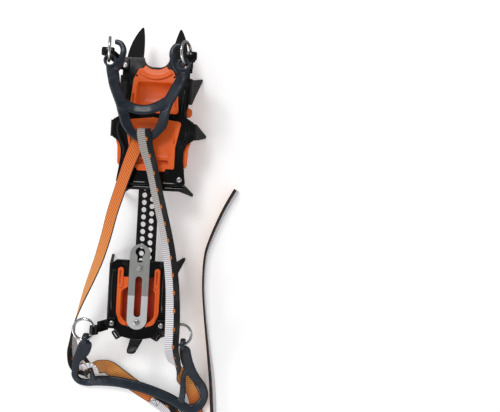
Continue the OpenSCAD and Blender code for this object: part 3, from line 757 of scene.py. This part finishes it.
@dataclass
class Webbing:
    """The one length of webbing that ties both cradles, and its sewn end."""

    palette: Palette
    width: float = 16.0
    thick: float = 1.4
    half_face: Pairs = ((-0.5, 0.2), (-0.485, 0.42), (-0.44, 0.5), (-0.3, 0.53), (-0.15, 0.55), (0.0, 0.56))
    gap: float = 4.1
    steps: int = 6
    stitch: Triple = (1.44, 0.6, 0.5)
    stitch_pitch: float = 2.0
    stitch_lift: float = 0.36
    seam: Pairs = ((1.0, -5.0), (13.0, -5.0), (13.0, 5.0), (1.0, 5.0))
    seam_start: Pair = (12.6, -261.2)
    seam_way: Pair = (0.87, -0.494)
    ring_bar: Pair = (43, -284)
    sewn_way: Pair = (0.66, -0.75)
    ground: float = FLOOR_Z + 1.2
    upright: float = FLOOR_Z + 8.6
    cuts: Pairs = ((-20, -241), (-76.3, -165), (-26.2, -7.4), (16, -5), (45.4, -158))

    @staticmethod
    def row_at(rows: Sequence[Row], place: Pair) -> int:
        """Finds the row at a place of the route."""
        return next(i for i, row in enumerate(rows) if tuple(row[:2]) == place)

    def sewn(self, along: float, z: float, look: Sequence[float]) -> Row:
        """Gives a row of the sewn end, so far along from the rings' bar."""
        x, y = (start + way * along for start, way in zip(self.ring_bar, self.sewn_way))
        return (x, y, z, *look)

    def rows(self) -> List[Row]:
        """Lays out the route, from the sewn end round both cradles to the free tail.

        Returns:
            The rows of the route.
        """
        g, e, h, t = self.ground, self.upright, self.gap, self.thick
        up, down, out = (0, 0, 1), (0, 0, -1), (-1, 0, 0)
        return [
            (14, -262, g + t + 0.3, *down), (24.2, -267.8, g + t + 0.3, *down),
            self.sewn(-12, g + t + 0.9, down), self.sewn(-3, g + 2 * h, down),
            self.sewn(1.2, g + 2 * h, down), self.sewn(3.7, g + 1.8 * h, (-0.33, 0.37, -0.87)),
            self.sewn(4.8, g + h, (-0.66, 0.75, 0)), self.sewn(3.7, g + 0.2 * h, (-0.33, 0.37, 0.87)),
            self.sewn(1.2, g, up), self.sewn(-3, g, up), self.sewn(-12, g, up),
            (24.2, -267.8, g, *up), (11.3, -260.5, g, *up), (-7.9, -249.5, g, *up),
            (-20, -241, g + 1.2, *up), (-31, -233.4, g + 2, 0, 0.05, 1),
            (-41, -226.6, g + 4.6, 0.25, 0.35, 0.9), (-45.6, -222.4, g + 13, 0.8, 0.55, 0.3),
            (-48, -219.4, g + 25, 0.9, 0.35, -0.3), (-54, -216.8, g + 32.6, 0.3, 0.5, -0.8),
            (-59.8, -218.6, g + 33.4, 0.1, 0.65, -0.75), (-64.6, -224, g + 24, 0.9, 0.2, -0.4),
            (-66, -230, g + 12, 0.9, 0.3, -0.3), (-74.4, -230.2, g + 4.6, 0.2, 0.1, -1),
            (-79.4, -228.8, g + 3.2, -0.2, 0, -1), (-82.6, -222, g + 5.6, -0.5, 0, -0.85),
            (-83, -211, g + 12.4, -0.75, 0, -0.65), (-82.2, -197, g + 19.6, -0.9, 0, -0.4),
            (-80.4, -184, g + 26, *out), (-76.3, -165, g + 31, -1, 0, 0.15),
            (-67.3, -139, g + 37.6, -0.9, 0, 0.4), (-57, -113, g + 43, -0.75, 0, 0.65),
            (-47.5, -88, g + 47, -0.6, 0, 0.8), (-39.5, -60, 3.6, -0.5, 0, 0.87),
            (-33.6, -34, 5.6, -0.45, 0, 0.9), (-26.2, -7.4, 6.4, -0.4, 0, 0.92),
            (-18.8, 19, 6, -0.3, 0, 0.95), (-12.8, 38, 5, -0.1, 0, 1), (-8, 49.6, 5.4, *up),
            (-4, 57.4, 5.9, 0.1, -0.3, 0.9), (-1.6, 62.9, 10, 0.1, -1, 0),
            (-0.6, 58.2, 14, 0.1, -0.4, -0.9), (1.2, 50, 14.4, 0, 0.05, -1),
            (4, 38, 13.2, 0.2, 0, -1), (9.4, 21, 11, 0.4, 0, -0.9), (16, -5, 9.4, 0.45, 0, -0.9),
            (23, -30, 9.4, 0.45, 0, -0.9), (30.6, -57.5, 10.6, 0.4, 0, -0.9),
            (36.8, -85, 13.4, 0.3, 0, -0.95), (41.8, -115, 18.4, 0.2, 0, -1),
            (44.6, -142, 24.8, *down), (45.4, -158, 27, *down), (45.4, -171, 27.4, 0, 0.1, -1),
            (45.5, -181, 24.2, 0, 0.4, -0.9), (46, -192, 14, 0.1, 0.7, -0.7),
            (47, -204, 1, 0.4, 0.6, -0.7), (47.6, -215, -14, 1, 0.1, -0.1),
            (52.4, -228, -28, 0.7, -0.2, 0.7), (59.6, -241, -36, 0.1, -0.3, 0.9),
            (65, -253, g + 4, 0, -0.35, 0.9), (67.6, -262, g + 0.4, *up), (69.5, -275, g + 0.4, *up),
            (72.6, -286.4, g + 3.6, 0.4, 0.1, 0.9), (77, -296.4, e - 0.4, 0.85, 0.4, 0.35),
            (84, -303.5, e, 0.1, 1, 0), (90.3, -298, e, -0.9, 0.4, 0), (92.5, -285, e, -1, 0, -0.25),
            (91, -268, e - 0.4, -1, 0, -0.36), (87.4, -234, e - 0.3, -1, 0, -0.3),
            (81.6, -197, e, -1, 0, -0.16), (74.6, -152, e, -1, 0, -0.08),
            (70.9, -117, e, -1, 0, -0.08), (71.6, -83, e, -1, 0.1, -0.16),
            (78, -59, e - 0.2, -0.9, 0.4, -0.28), (91.6, -25, e - 0.4, -0.9, 0.4, -0.34),
            (105, 1, e - 0.5, -0.85, 0.4, -0.36),
        ]

    def section(self) -> List[Spot]:
        """Draws the webbing's section: the orange face, an edge, the grey face and the other edge.

        Returns:
            The corners of the section.
        """
        face = list(self.half_face) + [(-x, y) for x, y in reversed(self.half_face[:-1])]
        w, t, last = self.width, self.thick, len(face) - 1
        upper = [Spot(x * w, y * t, x + 0.5, 2 if i == last else 0) for i, (x, y) in enumerate(face)]
        lower = [Spot(-x * w, -y * t, 0.5 - x, 2 if i == last else 1) for i, (x, y) in enumerate(face)]
        return upper + lower

    def stretch(self, route: Route, name: str, first: int, last: int,
                capped: Tuple[bool, bool]) -> bpy.types.Object:
        """Makes the webbing between two rows of the route.

        Args:
            route: The whole route.
            name: The piece's name.
            first: Row that it starts at.
            last: Row that it ends at.
            capped: Whether it is cut off at its start and its end.

        Returns:
            The piece.
        """
        stations = []
        for step in range(first * route.steps, last * route.steps + 1):
            side, look = route.side(step)
            stations.append(Station(route.points[step], side, look, route.lengths[step] / (self.width * MM)))
        shape = sweep(stations, self.section(), capped)
        names = ("webbing_orange", "webbing_grey", "webbing_edge")
        piece = add_piece(name, to_mesh(shape, name), [self.palette[n] for n in names])
        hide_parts("strap")
        return piece

    def stitching(self) -> None:
        """Sews the folded end with a crossed box of thread."""
        start = Vector((*self.seam_start, self.ground + 1.5 * self.thick + self.stitch_lift))
        ahead = Vector((*self.seam_way, 0.0))
        side = Vector((-ahead.y, ahead.x, 0.0))
        corners = [start + ahead * u + side * v for u, v in self.seam]
        size = Matrix.Diagonal((*(measure * MM for measure in self.stitch), 1.0))
        shape = bmesh.new()
        for i, j in ((0, 1), (1, 2), (2, 3), (3, 0), (0, 2), (1, 3)):
            a, b = corners[i], corners[j]
            count = round((b - a).length / self.stitch_pitch)
            turn = (b - a).to_track_quat("X", "Z").to_matrix().to_4x4()
            for k in range(count):
                place = Matrix.Translation(a.lerp(b, (k + 0.5) / count) * MM) @ turn
                bmesh.ops.create_cube(shape, size=1.0, matrix=place @ size)
        round_off(shape, shape.edges[:], offset=0.16, segments=2)
        add_rigid("webbing_stitching", shape, self.palette["webbing_edge"], "heel")

    def build(self) -> None:
        """Makes every stretch, with its place baked into its mesh, and the stitching."""
        rows = self.rows()
        route = Route(rows, self.steps)
        LOG.info("webbing length %.3f m", route.lengths[-1])
        marks = [0] + [self.row_at(rows, place) for place in self.cuts] + [len(rows) - 1]
        names = ("band", "corner", "outer", "toe", "inner", "tail")
        made = {name: self.stretch(route, f"webbing_{name}", first, last, (name == "band", name == "tail"))
                for name, first, last in zip(names, marks, marks[1:])}
        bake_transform(made["band"])
        for name in ("corner", "tail"):
            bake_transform(made[name])
        for name in ("outer", "inner"):
            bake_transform(made[name])
        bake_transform(made["toe"])
        self.stitching()


# Cradles


@dataclass
class Cradle:
    """Slate moulding over the toe or round the heel."""

    palette: Palette
    node: str
    body: str
    finish: str
    cell: float = 0.8 * MM
    ease: float = 0.5
    rounds: int = 9

    def build(self) -> None:
        """Melts the swept limbs into one moulding with soft fillets."""
        shape = node_shape(self.node)
        piece = add_piece(f"{self.node}_moulding", to_mesh(shape, self.node), [])
        melt = piece.modifiers.new("melt", "REMESH")
        melt.mode = "VOXEL"
        melt.voxel_size = self.cell
        melt.use_smooth_shade = True
        soften = piece.modifiers.new("soften", "SMOOTH")
        soften.factor = self.ease
        soften.iterations = self.rounds
        settled(piece)
        piece.data.materials.clear()
        piece.data.materials.append(self.palette[self.finish])
        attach(piece, self.body)
        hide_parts(self.node)


# Rigid pieces


@dataclass
class Hardware:
    """CAD nodes that keep their shape, each with its finish."""

    palette: Palette
    finishes: Dict[str, Tuple[str, ...]] = field(default_factory=lambda: {
        "gloss_black_enamel": ("front_frame", "bar_keeper", "heel_frame", "bar_guide", "toe_post_left",
                               "toe_post_right", "heel_post_left", "heel_post_right"),
        "satin_black_enamel": ("guide_rivets", "linking_bar"),
        "bright_rivet_steel": ("adjuster_pin", "front_rivets", "toe_post_rivets", "spring_rivet",
                               "heel_post_rivets"),
        "polished_wire_steel": ("toe_ring_left", "toe_ring_right", "heel_ring_left", "heel_ring_right",
                                "buckle_ring_lower", "buckle_ring_upper"),
        "orange_moulding": ("toe_antibott", "ball_antibott"),
    })

    def dress(self) -> None:
        """Gives every node its material."""
        for finish, nodes in self.finishes.items():
            for node in nodes:
                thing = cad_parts[node]
                if not thing.material_slots:
                    thing.data.materials.append(None)
                for place in thing.material_slots:
                    place.material = self.palette[finish]
                LOG.info("%s: %s", node, finish)


@dataclass
class SpringLeaf:
    """Leaf of the length adjuster, which bends between its rear rivet and the locking pin."""

    palette: Palette
    rear: float = -152.0
    front: float = -104.0
    pitch: float = 4.0

    def build(self) -> None:
        """Cuts the leaf across at even steps, and bakes its place into its mesh."""
        shape = node_shape("adjuster_spring")
        for i in range(int((self.front - self.rear) / self.pitch) + 1):
            parts = shape.verts[:] + shape.edges[:] + shape.faces[:]
            bmesh.ops.bisect_plane(shape, geom=parts, plane_co=(0.0, (self.rear + i * self.pitch) * MM, 0.0),
                                   plane_no=(0.0, 1.0, 0.0))
        piece = add_piece("spring_leaf", to_mesh(shape, "spring_leaf", smooth=False),
                          [self.palette["brushed_spring_steel"]])
        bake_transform(piece)
        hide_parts("adjuster_spring")


@dataclass(frozen=True)
class Head:
    """Axis, rivet's top and radius of a turned head, in millimetres."""

    x: float
    y: float
    top: float
    radius: float

    def pair(self, middle: float) -> List["Head"]:
        """Gives the head on both sides of a middle."""
        return [replace(self, x=middle + hand * self.x) for _, hand in SIDES]


@dataclass
class Eyelets:
    """Turned heads on the rivets and the locking pin, each profile from the middle outwards and back."""

    palette: Palette
    toe_post: Head = Head(35.5, 136.0, 3.6, 2.9)
    heel_post: Head = Head(28.5, -160.0, 3.6, 2.9)
    keeper: Head = Head(33.0, 8.0, 1.0, 3.1)
    spring: Head = Head(0.0, -158.0, 2.7, 3.4)
    pin: Head = Head(0.0, -96.0, 2.6, 3.2)
    hollow_shade: Pairs = (
        (0.0, -0.5), (0.24, -0.5), (0.3, -0.1), (0.36, 0.3), (0.5, 0.52), (0.7, 0.5), (0.88, 0.25),
        (0.98, -0.15), (1.02, -0.6), (1.0, -0.9), (0.0, -0.9))
    dome: Pairs = (
        (0.0, 0.95), (0.3, 0.9), (0.6, 0.72), (0.85, 0.36), (1.0, -0.2), (1.02, -0.6), (1.0, -0.9),
        (0.0, -0.9))
    turns: int = 28

    def row(self, name: str, body: str, finish: str, heads: Sequence[Head], profile: Pairs) -> None:
        """Turns the heads of one set of rivets.

        Args:
            name: The piece's name.
            body: Body that it rides on.
            finish: Its material.
            heads: Its heads.
            profile: Radius as a share and height in millimetres.
        """
        shape = bmesh.new()
        for head in heads:
            foot = Vector((head.x, head.y, head.top))
            verts = [shape.verts.new((foot + Vector((r * head.radius, 0.0, h))) * MM) for r, h in profile]
            edges = [shape.edges.new(pair) for pair in zip(verts, verts[1:])]
            bmesh.ops.spin(shape, geom=verts + edges, cent=foot * MM, axis=(0.0, 0.0, 1.0), angle=math.tau,
                           steps=self.turns, use_merge=True)
        bmesh.ops.remove_doubles(shape, verts=shape.verts[:], dist=0.001 * MM)
        bmesh.ops.recalc_face_normals(shape, faces=shape.faces[:])
        add_rigid(name, shape, self.palette[finish], body)

    def build(self) -> None:
        """Puts heads on every set of rivets and on the pin."""
        bright = "bright_rivet_steel"
        self.row("toe_post_eyelets", "front", bright, self.toe_post.pair(FRONT_X), self.hollow_shade)
        self.row("heel_post_eyelets", "heel", bright, self.heel_post.pair(0.0), self.hollow_shade)
        self.row("keeper_eyelets", "front", bright, self.keeper.pair(FRONT_X), self.hollow_shade)
        self.row("spring_eyelet", "heel", bright, [self.spring], self.hollow_shade)
        self.row("locking_pin_dome", "adjuster", "brushed_spring_steel", [self.pin], self.dome)


@dataclass
class Pressings:
    """Rolled beads along the pressed frames."""

    palette: Palette
    width: float = 5.6
    rise: float = 1.7
    sunk: float = 0.02
    root: float = 0.3
    blunt: float = 0.02
    taper: float = 5.0
    steps: int = 6
    facets: int = 10
    front_path: Pairs = (
        (33.5, 29.0), (31.0, 40.0), (37.0, 53.0), (39.5, 66.0), (34.0, 80.0), (33.5, 92.0), (34.0, 116.0))
    rear_path: Pairs = ((0.0, 2.2), (12.0, 2.2), (24.0, 2.2), (36.0, 2.2))
    heel_path: Pairs = ((29.0, -98.0), (29.2, -114.0), (29.2, -130.0), (29.0, -146.0))

    def bead(self, name: str, body: str, path: Pairs, middle: float, hand: int) -> None:
        """Makes one bead.

        Args:
            name: The piece's name.
            body: Body that it rides on.
            path: Its line, from the frame's own middle.
            middle: X of that middle.
            hand: -1 on the left, 1 on the right.
        """
        route = Route([(middle + hand * x, y, 0.0, 0.0, 0.0, 1.0) for x, y in path], self.steps)
        stations, last = [], len(route.points) - 1
        for step, point in enumerate(route.points):
            side, look = route.side(step)
            ease = math.sqrt(min(1.0, self.blunt + self.taper * min(step, last - step) / last))
            stations.append(Station(point, side * ease, look * ease))
        half, turns = 0.5 * self.width, [math.pi * i / self.facets for i in range(self.facets + 1)]
        section = [Spot(-half * math.cos(turn), self.rise * math.sin(turn) - self.sunk) for turn in turns]
        section += [Spot(half, -self.root), Spot(-half, -self.root)]
        shape = sweep(stations, section, (True, True))
        add_rigid(name, shape, self.palette["gloss_black_enamel"], body)

    def build(self) -> None:
        """Makes every bead."""
        for side, hand in SIDES:
            self.bead(f"front_bead_{side}", "front", self.front_path, FRONT_X, hand)
            self.bead(f"heel_bead_{side}", "heel", self.heel_path, 0.0, hand)
            self.bead(f"rear_roll_{side}", "front", self.rear_path, FRONT_X, hand)


def outline(plan: Pairs, radius: float, inset: float, height: float, least: float = 0.15,
            facets: int = 6) -> List[Vector]:
    """Gives a plan's outline, so far inside, with rounded corners.

    Args:
        plan: Corners of the plan, leftwise.
        radius: Rounding of the plan's own corners.
        inset: How far inside it lies.
        height: Its height.
        least: The least rounding, where the inset has taken up the radius.
        facets: Facets of each corner.

    Returns:
        The outline's points, as many for each corner.
    """
    flat = [Vector(corner) for corner in plan]
    round_by, points = max(radius - inset, least), []
    for i, here in enumerate(flat):
        back, ahead = (flat[i - 1] - here).normalized(), (flat[(i + 1) % len(flat)] - here).normalized()
        half = 0.5 * math.acos(max(-1.0, min(1.0, back.dot(ahead))))
        inward = (back + ahead).normalized()
        middle = here + inward * ((inset + round_by) / math.sin(half))
        start = Vector((back.y, -back.x))
        start = start if start.dot(inward) < 0 else -start
        for j in range(facets + 1):
            turn = (math.pi - 2.0 * half) * j / facets
            c, d = math.cos(turn), math.sin(turn)
            way = Vector((start.x * c - start.y * d, start.x * d + start.y * c))
            points.append((middle + way * round_by).to_3d() + Vector((0.0, 0.0, height)))
    return points


def box_plan(x: float, y: float, half: float, reach: float) -> Pairs:
    """Gives the corners of an upright box plan."""
    return ((x - half, y - reach), (x + half, y - reach), (x + half, y + reach), (x - half, y + reach))


def ringed(rings: Sequence[Sequence[Vector]]) -> Tuple[bmesh.types.BMesh, List[bmesh.types.BMEdge]]:
    """Skins a row of closed rings.

    Args:
        rings: Rings of as many points each, in millimetres, the outer or lower one first.

    Returns:
        The skin, and the open edges of its last ring.
    """
    count, turns = len(rings) - 1, len(rings[0])
    shape = bmesh.new()
    bmesh.ops.create_grid(shape, x_segments=turns, y_segments=count, size=0.5)
    rank = shape.verts.layers.int.new("rank")
    for vert in shape.verts:
        vert[rank] = round((vert.co.y + 0.5) * count)
        vert.co = rings[vert[rank]][round((vert.co.x + 0.5) * turns) % turns] * MM
    bmesh.ops.remove_doubles(shape, verts=shape.verts[:], dist=0.0005 * MM)
    return shape, open_rim(shape, rank, count)


@dataclass
class Fittings:
    """Slotted lugs at the heel corners and caps on the toe posts, with the inset and height of each ring."""

    palette: Palette
    lug: Pair = (5.4, 3.7)
    lug_place: Triple = (24.4, -174.4, -2.4)
    lug_turn: float = 55.0
    lug_lean: float = 38.0
    lug_corner: float = 2.2
    lug_rings: Pairs = ((0.3, -0.9), (0.0, -0.6), (0.0, 0.6), (0.3, 0.9), (1.7, 0.9), (2.0, 0.6), (2.0, -0.6),
                        (1.7, -0.9), (0.3, -0.9))
    cap: Pair = (6.8, 4.5)
    cap_place: Pair = (44.0, 138.8)
    cap_corner: float = 1.6
    cap_rings: Pairs = ((0.5, 39.4), (0.0, 39.9), (0.0, 41.2), (0.35, 41.9), (1.0, 42.3))

    def corner_lug(self, name: str, hand: int) -> None:
        """Makes a slotted lug that leans out of a heel corner.

        Args:
            name: The piece's name.
            hand: -1 on the left, 1 on the right.
        """
        plan = box_plan(0.0, 0.0, *self.lug)
        shape, _ = ringed([outline(plan, self.lug_corner, inset, height) for inset, height in self.lug_rings])
        reach, y, z = self.lug_place
        place = Matrix.Translation(Vector((hand * reach, y, z)) * MM)
        turn = Matrix.Rotation(math.radians(hand * self.lug_turn), 4, "Z")
        lean = Matrix.Rotation(math.radians(self.lug_lean), 4, "X")
        bmesh.ops.transform(shape, matrix=place @ turn @ lean, verts=shape.verts[:])
        add_rigid(name, shape, self.palette["gloss_black_enamel"], "heel")

    def post_cap(self, name: str, hand: int) -> None:
        """Makes the block over the eye of a toe post.

        Args:
            name: The piece's name.
            hand: -1 on the left, 1 on the right.
        """
        reach, y = self.cap_place
        plan = box_plan(FRONT_X + hand * reach, y, *self.cap)
        shape, _ = ringed([outline(plan, self.cap_corner, inset, height) for inset, height in self.cap_rings])
        close_ends(shape)
        add_rigid(name, shape, self.palette["gloss_black_enamel"], "front")

    def build(self) -> None:
        """Makes both pairs."""
        for side, hand in SIDES:
            self.corner_lug(f"heel_lug_{side}", hand)
            self.post_cap(f"toe_post_cap_{side}", hand)


@dataclass
class Plates:
    """Moulded trays, raised slot rims and the toe scoop of the orange plates.

    The steps of a pan or a rim are moves inwards and up, one after another.
    """

    palette: Palette
    deep_pan: Pairs = (
        (0.35, 0.5), (0.45, 0.3), (0.8, 0.1), (0.5, -0.2), (0.4, -0.5), (0.35, -0.9), (0.4, -1.3),
        (0.6, -1.5), (0.9, -1.6), (1.3, -1.3), (1.8, -0.9), (2.4, -0.5), (2.6, -0.2), (0.6, 0.0))
    steep_pan: Pairs = (
        (0.35, 0.5), (0.45, 0.3), (0.8, 0.1), (0.5, -0.2), (0.4, -0.5), (0.3, -0.9), (0.3, -1.3),
        (0.35, -1.6), (0.45, -1.8), (0.6, -1.5), (0.9, -0.9), (1.2, -0.4), (1.6, -0.1), (0.6, 0.0))
    shallow_pan: Pairs = (
        (0.25, 0.45), (0.3, 0.25), (0.5, 0.05), (0.35, -0.2), (0.35, -0.5), (0.45, -0.6), (0.7, -0.4),
        (1.2, -0.2), (0.4, 0.0), (1.5, 0.0), (0.3, 0.0), (0.3, -0.45), (0.3, 0.45), (0.3, 0.0),
        (0.8, 0.0))
    slot_rim: Pairs = ((0.2, 0.35), (0.35, 0.2), (0.45, 0.0), (0.2, -0.25), (0.08, -1.6))
    tab_rim: Pairs = ((0.25, 0.4), (0.5, 0.3), (0.9, 0.05), (0.25, -0.3), (0.1, -1.8))
    tab_front: float = -95.5
    tab_corner: float = 3.0
    bar_room: Triple = (-13.9, 17.4, -124.6)
    rivet_room: Pair = (11.2, -147.5)
    scoop_profile: Pairs = (
        (17.4, 1.6), (17.6, 2.1), (18.4, 2.3), (20.6, 2.25), (22.8, 2.4), (24.6, 2.8), (26.3, 3.7),
        (27.3, 4.3), (28.2, 4.1), (28.9, 3.2), (29.2, 1.6), (28.6, 1.0), (18.0, 1.0))
    scoop_y: float = 150.0
    scoop_turn: float = 42.0
    scoop_steps: int = 36

    def tray(self, name: str, body: str, plan: Pairs, radius: float, top: float, steps: Pairs,
             keep: Optional[Callable[[Vector], bool]] = None) -> None:
        """Presses a tray into a rounded outline.

        Args:
            name: The piece's name.
            body: Body that it rides on.
            plan: Corners of the outline, leftwise, in millimetres.
            radius: Rounding of the corners.
            top: Height that the outline starts at.
            steps: Its steps.
            keep: Says of a face's middle, in millimetres, whether the face stays.
        """
        rings, inset, height = [outline(plan, radius, 0.0, top)], 0.0, top
        for inward, up in steps:
            inset, height = inset + inward, height + up
            rings.append(outline(plan, radius, inset, height))
        shape, rim = ringed(rings)
        for lid in bmesh.ops.holes_fill(shape, edges=rim)["faces"]:
            lid.normal_update()
            if lid.normal.z < 0:
                lid.normal_flip()
            if keep:
                bmesh.ops.triangulate(shape, faces=[lid])
        if keep:
            gone = [face for face in shape.faces if not keep(face.calc_center_median() / MM)]
            bmesh.ops.delete(shape, geom=gone, context="FACES")
        self.finish(name, body, shape)

    def finish(self, name: str, body: str, shape: bmesh.types.BMesh) -> None:
        """Makes the shape a piece of orange moulding on a body."""
        look = "heel_moulding" if body == "heel" else "orange_moulding"
        add_rigid(name, shape, self.palette[look], body)

    @staticmethod
    def pan(x: float, rear: float, rear_half: float, front: float, front_half: float) -> Pairs:
        """Gives the corners of a tapering pan."""
        return ((x - rear_half, rear), (x + rear_half, rear),
                (x + front_half, front), (x - front_half, front))

    def uncovered(self, spot: Vector) -> bool:
        """Says whether a place of the heel pan is clear of the linking bar and of the leaf's rivet.

        Args:
            spot: The place, in millimetres.

        Returns:
            Whether it is clear.
        """
        left, right, rear = self.bar_room
        half, front = self.rivet_room
        return not (left < spot.x < right and spot.y > rear) and not (abs(spot.x) < half and spot.y < front)

    def scoop(self) -> None:
        """Turns the hollow lip at the toe about the notch in front of it."""
        middle, turn = Vector((FRONT_X, self.scoop_y, 0.0)), math.radians(self.scoop_turn)
        aim = Vector((-math.sin(turn), -math.cos(turn), 0.0))
        shape = bmesh.new()
        verts = [shape.verts.new((middle + aim * r + Vector((0.0, 0.0, h))) * MM)
                 for r, h in self.scoop_profile]
        edges = [shape.edges.new(pair) for pair in zip(verts, verts[1:] + verts[:1])]
        bmesh.ops.spin(shape, geom=verts + edges, cent=middle * MM, axis=(0.0, 0.0, 1.0),
                       angle=2.0 * turn, steps=self.scoop_steps)
        close_ends(shape)
        self.finish("toe_scoop", "front", shape)

    def heel_plate(self) -> None:
        """Rounds the front corners of the heel plate's tabs."""
        shape = node_shape("heel_antibott")
        bmesh.ops.dissolve_limit(shape, angle_limit=math.radians(0.5), verts=shape.verts[:],
                                 edges=shape.edges[:])
        near = 0.3 * MM
        corners = [edge for edge in shape.edges
                   if all(abs(v.co.y - self.tab_front * MM) < near and v.co.z > near for v in edge.verts)
                   and abs(edge.verts[0].co.x - edge.verts[1].co.x) < 0.1 * MM]
        LOG.info("heel plate: %d tab corners", len(corners))
        round_off(shape, corners, offset=self.tab_corner, segments=6)
        piece = add_rigid("heel_plate", shape, self.palette["heel_moulding"], "heel", smooth=False)
        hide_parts("heel_antibott")

    def build(self) -> None:
        """Makes every moulded detail of the three plates."""
        x = FRONT_X
        self.heel_plate()
        self.scoop()
        self.tray("toe_pan", "front", self.pan(x, rear=88.4, rear_half=24.2, front=120.6, front_half=22.2),
                  radius=5.0, top=1.7, steps=self.deep_pan)
        self.tray("ball_pan", "front", ((x - 21.4, 30.6), (x + 21.4, 30.6), (x + 27.4, 70.6), (x, 73.2),
                                        (x - 27.4, 70.6)), radius=3.5, top=1.7, steps=self.shallow_pan)
        self.tray("heel_pan", "heel",
                  self.pan(0.0, rear=-162.2, rear_half=22.0, front=-116.6, front_half=22.0),
                  radius=9.0, top=0.7, steps=self.steep_pan, keep=self.uncovered)
        for side, hand in SIDES:
            self.tray(f"toe_slot_rim_{side}", "front", box_plan(x + hand * 24.6, 97.5, half=2.2, reach=7.6),
                      radius=2.1, top=1.8, steps=self.slot_rim)
            self.tray(f"ball_slot_rim_{side}", "front", box_plan(x + hand * 24.4, 55.0, half=2.2, reach=7.0),
                      radius=2.1, top=1.8, steps=self.slot_rim)
            self.tray(f"heel_tab_{side}", "heel", box_plan(hand * 21.0, -106.4, half=3.1, reach=10.8),
                      radius=2.9, top=1.6, steps=self.tab_rim)


# Studio


@dataclass
class Studio:
    """Pale floor, soft light and the camera of the picture."""

    sky: float = 0.68
    zenith: float = 0.11
    low_dim: float = 0.45
    right_dim: float = 0.35
    front_dim: float = 0.7
    eye: Triple = (0.1226, -0.0173, 0.552)
    turn: float = 3.2
    lens: float = 34.56
    floor_size: float = 3.0
    floor_drop: float = 0.4
    floor_glow: float = 0.14
    lamps_aim: Triple = (0.0, -0.05, 0.0)

    def floor(self) -> None:
        """Lays a white floor that keeps the shadow."""
        shape = bmesh.new()
        bmesh.ops.create_grid(shape, x_segments=1, y_segments=1, size=self.floor_size)
        bmesh.ops.translate(shape, verts=shape.verts[:], vec=(0.0, 0.0, (FLOOR_Z - self.floor_drop) * MM))
        graph = Graph(bpy.data.materials.new("studio_floor"))
        seen, mirrored = (graph.node("ShaderNodeLightPath", out=f"Is {name} Ray")
                          for name in ("Camera", "Glossy"))
        lit = graph.mix(mirrored, rgb(0.88, 0.88, 0.88), rgb(0.2, 0.2, 0.2))
        graph.surface({"Base Color": graph.mix(seen, lit, rgb(1.0, 1.0, 1.0)),
                       "Roughness": 0.95, "Specular IOR Level": 0.0,
                       "Emission Color": graph.mix(seen, rgb(0.0, 0.0, 0.0), rgb(1.0, 1.0, 1.0)),
                       "Emission Strength": self.floor_glow})
        add_piece("studio_floor", to_mesh(shape, "studio_floor"), [graph.owner])

    def lamp(self, name: str, place: Sequence[float], size: float, power: float) -> None:
        """Hangs a soft square lamp that looks at the part.

        Args:
            name: The lamp's name.
            place: Where it hangs.
            size: Its side.
            power: Its power, in watts.
        """
        light = bpy.data.lights.new(name, "AREA")
        light.size = size
        light.energy = power
        thing = bpy.data.objects.new(name, light)
        thing.location = place
        thing.rotation_euler = (Vector(self.lamps_aim) - Vector(place)).to_track_quat("-Z", "Y").to_euler()
        bpy.context.scene.collection.objects.link(thing)

    def world(self) -> None:
        """Sets a white sky for the camera, and for reflections one that is darker overhead and low down."""
        graph = Graph(bpy.data.worlds.new("studio_sky"))
        bpy.context.scene.world = graph.owner
        camera, glossy, through = (graph.node("ShaderNodeLightPath", out=f"Is {name} Ray")
                                   for name in ("Camera", "Glossy", "Transmission"))
        way = graph.node("ShaderNodeTexCoord", out="Generated")
        right, front, height = (graph.axis(way, letter) for letter in "XYZ")
        overhead = 1.0 - height.rise(0.5, 0.88) * (1.0 - self.zenith)
        mirrored = overhead * (1.0 - self.low_dim + height.rise(0.05, 0.4) * self.low_dim)
        mirrored = mirrored * (1.0 - right.rise(0.1, 0.7) * self.right_dim)
        mirrored = mirrored * (1.0 - front.rise(0.1, 0.6) * self.front_dim)
        shown = (glossy + through) * (1.0 - camera)
        level = camera + shown * mirrored + (1.0 - camera) * (1.0 - shown) * self.sky
        sky = graph.node("ShaderNodeBackground", {}, {"Color": rgb(1.0, 1.0, 1.0), "Strength": level})
        graph.node("ShaderNodeOutputWorld", {}, {"Surface": sky})

    def camera(self) -> None:
        """Sets the camera straight above, as in the picture."""
        data = bpy.data.cameras.new("picture_camera")
        data.sensor_fit = "HORIZONTAL"
        data.sensor_width = 36.0
        data.lens = self.lens
        data.clip_start = 0.01
        thing = bpy.data.objects.new("picture_camera", data)
        thing.location = self.eye
        thing.rotation_euler = (0.0, 0.0, math.radians(self.turn))
        bpy.context.scene.collection.objects.link(thing)
        bpy.context.scene.camera = thing

    def build(self) -> None:
        """Sets up the whole studio."""
        bpy.context.scene.view_settings.view_transform = "Standard"
        self.camera()
        self.floor()
        self.world()
        self.lamp("key_lamp", place=(-0.35, 0.8, 1.2), size=0.4, power=7.5)
        self.lamp("fill_lamp", place=(-1.0, -0.75, 0.7), size=0.45, power=3.4)


def main() -> None:
    """Builds the studio and the part's pieces."""
    logging.basicConfig(level=logging.INFO, format="%(name)s: %(message)s")
    Studio().build()
    palette = Palette()
    Webbing(palette).build()
    Cradle(palette, "toe_cradle", "toe_hold", "slate_elastomer").build()
    # The heel cradle's lighter elastomer is painted sheen
    Cradle(palette, "heel_cradle", "heel_hold", "heel_sheen_elastomer").build()
    Hardware(palette).dress()
    SpringLeaf(palette).build()
    Eyelets(palette).build()
    Pressings(palette).build()
    Fittings(palette).build()
    Plates(palette).build()


if __name__ == "__main__":
    main()
